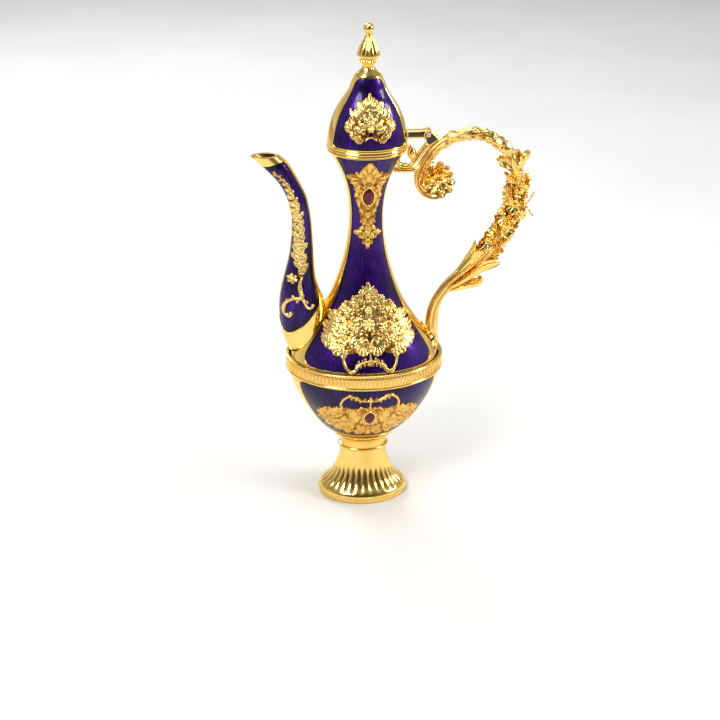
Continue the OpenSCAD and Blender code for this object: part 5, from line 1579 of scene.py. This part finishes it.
stamens = [
    [(98.4, -0.6, 203.4), (101.8, -0.8, 203.8), (104.4, -0.8, 206.6), (107.0, -1.0, 211.4)],
    [(98.4, 0.2, 202.6), (101.8, 0.4, 202.8), (104.6, 0.6, 199.6), (107.4, 0.9, 195.4)],
    [(98.4, 0.6, 203.2), (102.2, 1.2, 203.6), (104.8, 1.8, 205.2), (106.6, 2.2, 208.0)],
    [(98.4, -0.2, 203.0), (101.0, -1.4, 202.6), (103.4, -2.0, 200.8), (105.2, -2.4, 198.2)],
]


def buildStamens():
    parts = []
    for route in stamens:
        path = splinePoints(route, 6)
        parts.append(sweptTube(path, np.linspace(0.75, 0.34, len(path)), 8))
        parts.append(ball(path[-1], 0.85, (1, 1, 1.25)))
    parts.append(ball((100.0, 0, 203.0), 2.0, (1.3, 1, 1)))
    gild(addMesh("flowerStamens", *joined(parts), 50), "flower_stamens")


strap = {
    # One strand runs from the hinge into the crook and curls up at the neck; one lies flat under it
    "strands": [
        (1.7, [(43.6, 0, 248.6), (40.4, 0, 247.0), (37.2, 0, 244.4), (34.4, 0, 241.0), (32.0, 0, 237.4),
               (29.4, 0, 234.0), (26.2, 0, 231.8), (22.6, 0, 231.6), (19.8, 0, 233.4), (19.2, 0, 236.4),
               (20.4, 0, 239.0)]),
        (1.65, [(34.2, 0, 232.4), (31.6, 0, 230.0), (28.0, 0, 228.8), (22.0, 0, 228.8), (14.4, 0, 229.6)])],
    "flat": 1.65, "sides": 28,
    # A fluted bud that leans in the crook: half width and height
    "bud": [(0.05, -4.7), (0.9, -4.5), (1.8, -3.9), (2.6, -2.7), (3.0, -1.1), (2.9, 0.4), (2.4, 1.9),
            (1.7, 3.0), (1.25, 3.7), (1.1, 4.1), (1.3, 4.5), (0.9, 5.0), (0.05, 5.2)],
    "budPlace": (27.9, 0, 240.0), "budLean": -20, "budSides": 40,
}


def buildStrap():
    parts = []
    a = ringAngles(strap["sides"])
    crease = -0.34 * np.exp(-((np.abs((a + up) % math.pi - up)) / 0.30) ** 2)
    for size, route in strap["strands"]:
        path = splinePoints(route, 8)
        t = np.linspace(0, 1, len(path))
        radii = size * (0.72 + 0.28 * smoothStep(t / 0.12)) * (0.62 + 0.38 * smoothStep((1 - t) / 0.14))
        parts.append(sweptTube(path, radii, len(a), flat=strap["flat"], ripple=crease))
    gild(addMesh("neckStrap", *joined(parts), 50), "neck_strap")
    rows = splinePoints(strap["bud"], 3)
    body = smoothStep((3.2 - np.abs(rows[:, 1:2] + 0.9)) / 2.2)
    flutes = -0.55 * body * (0.5 - 0.5 * np.cos(6 * ringAngles(strap["budSides"]))) ** 3
    path = [(0, 0, z) for z in rows[:, 1]]
    verts, faces = sweptTube(path, np.maximum(rows[:, 0], 0.03), strap["budSides"], ripple=flutes)
    lean = np.array(Matrix.Rotation(math.radians(strap["budLean"]), 3, "Y"))
    gild(addMesh("strapBud", verts @ lean.T + np.array(strap["budPlace"]), faces, 50), "strap_bead")


buildRod()
buildLeaves()
buildFlowers()
buildRosettes()
buildStamens()
buildStrap()
print("handle made")


# Hinge, lid arm and finial

joint = {
    "eye": 2.55, "armHalf": 1.95, "earIn": 2.4, "earOut": 3.8, "cheek": 3.0, "bevel": 0.22,
    "armRoot": ((24.2, 249.6), (24.3, 254.4)), "panelInset": 0.9, "panelDepth": 0.35,
    "cheekFoot": [(36.4, 246.6), (38.0, 245.2), (40.6, 246.2), (44.4, 249.2)],
    # The pin from the tip of its head to its middle: radius and y
    "pin": [(0.02, 4.72), (0.55, 4.66), (0.95, 4.46), (1.05, 4.30), (1.15, 4.34), (1.5, 4.22), (1.68, 3.98),
            (1.68, 3.84), (1.18, 3.82), (1.18, 0.0)],
}


# Outline points moved inward by a distance, in the plane of the plate.
def insetOutline(outline, distance):
    p = np.asarray(outline, float)
    before, after = unit(p - np.roll(p, 1, 0)), unit(np.roll(p, -1, 0) - p)
    n = (before + after)[:, ::-1] * np.array([-1, 1])
    return p + n / np.maximum(np.hypot(*n.T), 1e-6)[:, None] * distance


# A plate in the XZ plane made of rings: each ring is an inset of the outline at its own depth.
def plateSolid(outline, rings):
    layers = []
    for inset, y in rings:
        p = insetOutline(outline, inset)
        layers.append(np.stack([p[:, 0], np.full(len(p), y), p[:, 1]], -1))
    n = len(outline)
    index = np.arange(n * len(layers)).reshape(len(layers), n)
    faces = quadsOf(index, True).tolist()
    return np.vstack(layers), faces + [index[0].tolist(), index[-1][::-1].tolist()]


def arcPoints(radius, start, end, count):
    a = np.radians(np.linspace(start, end, count))
    return [(hinge[0] + radius * math.cos(t), hinge[1] + radius * math.sin(t)) for t in a]


def alongEdges(outline, step=0.8):
    out = []
    for (x0, z0), (x1, z1) in zip(outline, outline[1:] + outline[:1]):
        count = max(1, int(math.hypot(x1 - x0, z1 - z0) / step))
        out += [(mix(x0, x1, k / count), mix(z0, z1, k / count)) for k in range(count)]
    return out


def buildHinge():
    j = joint
    lowRoot, highRoot = j["armRoot"]
    arm = alongEdges([lowRoot] + arcPoints(j["eye"], -92, 92, 15) + [highRoot])
    h, b, inset = j["armHalf"], j["bevel"], j["panelInset"]
    rings = [(inset + 0.1, -h + j["panelDepth"]), (inset, -h), (b, -h), (0, -h + b),
             (0, h - b), (b, h), (inset, h), (inset + 0.1, h - j["panelDepth"])]
    gild(addMesh("lidArm", *plateSolid(arm, rings), 35), "lid_arm", body="lid")
    # Cheeks on the handle, either side of the arm
    cheek = alongEdges(arcPoints(j["cheek"], 40, 225, 14) + j["cheekFoot"])
    armPanels, cheeks, cheekPanels = [], [], []
    for s in (-1, 1):
        low, high = j["earIn"], j["earOut"]
        armPanels.append(plateSolid(arm, [(inset + 0.02, s * (h - 0.5)), (inset + 0.02, s * (h - 0.24)),
                                          (inset + 0.3, s * (h - 0.2))]))
        cheeks.append(plateSolid(cheek, [(b, s * low), (0, s * (low + b)), (0, s * (high - b)), (b, s * high),
                                         (0.7, s * high), (0.8, s * (high - 0.3))]))
        cheekPanels.append(plateSolid(cheek, [(0.72, s * (high - 0.5)), (0.72, s * (high - 0.2)),
                                              (1.0, s * (high - 0.16))]))
    # The side panels are painted shade: near-black plates on the faces of the arm and the cheeks.
    finishPiece(addMesh("lidArmPanels", *joined(armPanels), 35), paintedShadeBlack, "lid", "polished_gilt")
    gild(addMesh("hingeCheeks", *joined(cheeks), 35), "hinge_ears")
    finishPiece(addMesh("cheekPanels", *joined(cheekPanels), 35), paintedShadeBlack, "pot", "polished_gilt")
    # The pin, with a turned head on each side
    profile = [(r, -y) for r, y in j["pin"]] + [(r, y) for r, y in reversed(j["pin"][:-1])]
    path = [(hinge[0], y, hinge[1]) for _, y in profile]
    piece = addMesh("hingePin", *sweptTube(path, [r for r, _ in profile], 32, up=(0, 0, 1)), 35)
    finishPiece(piece, rosePin, "pot", "steel", "hinge_pin")


finial = {
    "flutes": 12, "sides": 144, "fluteDepth": 1.3,
    "split": 296.2,            # the cap ends and the finial starts here
    "round": (289.0, 6.5),     # the lid's oval turns round from here, over this height
    # Half width, height, depth of the flutes
    "profile": [
        (8.75, 289.0, 0), (8.3, 289.9, 0), (7.2, 291.0, 0), (5.7, 292.3, 0.0), (4.5, 293.6, 0.10),
        (3.75, 294.9, 0.22), (3.7, 296.0, 0.26), (4.2, 296.9, 0.32), (5.2, 297.9, 0.45), (5.6, 298.6, 0.45),
        (5.2, 299.2, 0.35), (5.0, 299.7, 0.15), (5.8, 300.3, 0.30), (6.8, 301.3, 0.55), (6.95, 302.4, 0.62),
        (6.7, 304.0, 0.62), (5.9, 306.2, 0.58), (4.7, 308.6, 0.48), (3.5, 310.8, 0.36), (2.6, 312.6, 0.24),
        (2.1, 313.7, 0.1), (2.0, 314.3, 0), (2.5, 314.7, 0), (2.1, 315.1, 0), (2.4, 315.5, 0),
        (2.95, 316.5, 0),
        (3.2, 317.9, 0), (2.95, 319.3, 0), (2.2, 320.4, 0), (1.1, 321.0, 0), (0.03, 321.1, 0)],
}


def buildFinial():
    f = finial
    line = splinePoints(f["profile"], 4)
    ribs = np.abs(np.sin(f["flutes"] * ringAngles(f["sides"]) / 2)) ** 0.8 - 1
    split = int(np.argmin(np.abs(line[:, 1] - f["split"])))
    for name, node, part in (("lidCap", "lid_cap", line[:split + 1]), ("finial", "finial", line[split:])):
        verts, faces = sweptTube([(0, 0, z) for z in part[:, 1]], np.maximum(part[:, 0], 0.03), f["sides"],
                                 ripple=ribs[None, :] * part[:, 2:3] * f["fluteDepth"])
        start, span = f["round"]
        verts[:, 1] *= mix(pot["depth"], 1.0, smoothStep((verts[:, 2] - start) / span))
        gild(addMesh(name, verts, faces, 60), node, body="lid")


buildHinge()
buildFinial()
print("hinge and finial made")


# Plain parts of the frame that keep their shape

keptParts = [
    (goldSatin, ["base_plate", "upper_body", "lower_bowl", "lid_shell", "lid_collar"]),
    (steel, ["foot_stud", "foot_bridge", "foot_nut", "finial_stud", "finial_nut"]),
]
for material, names in keptParts:
    for name in names:
        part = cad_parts[name].data
        part.materials.clear()
        part.materials.append(material)
print("frame dressed")
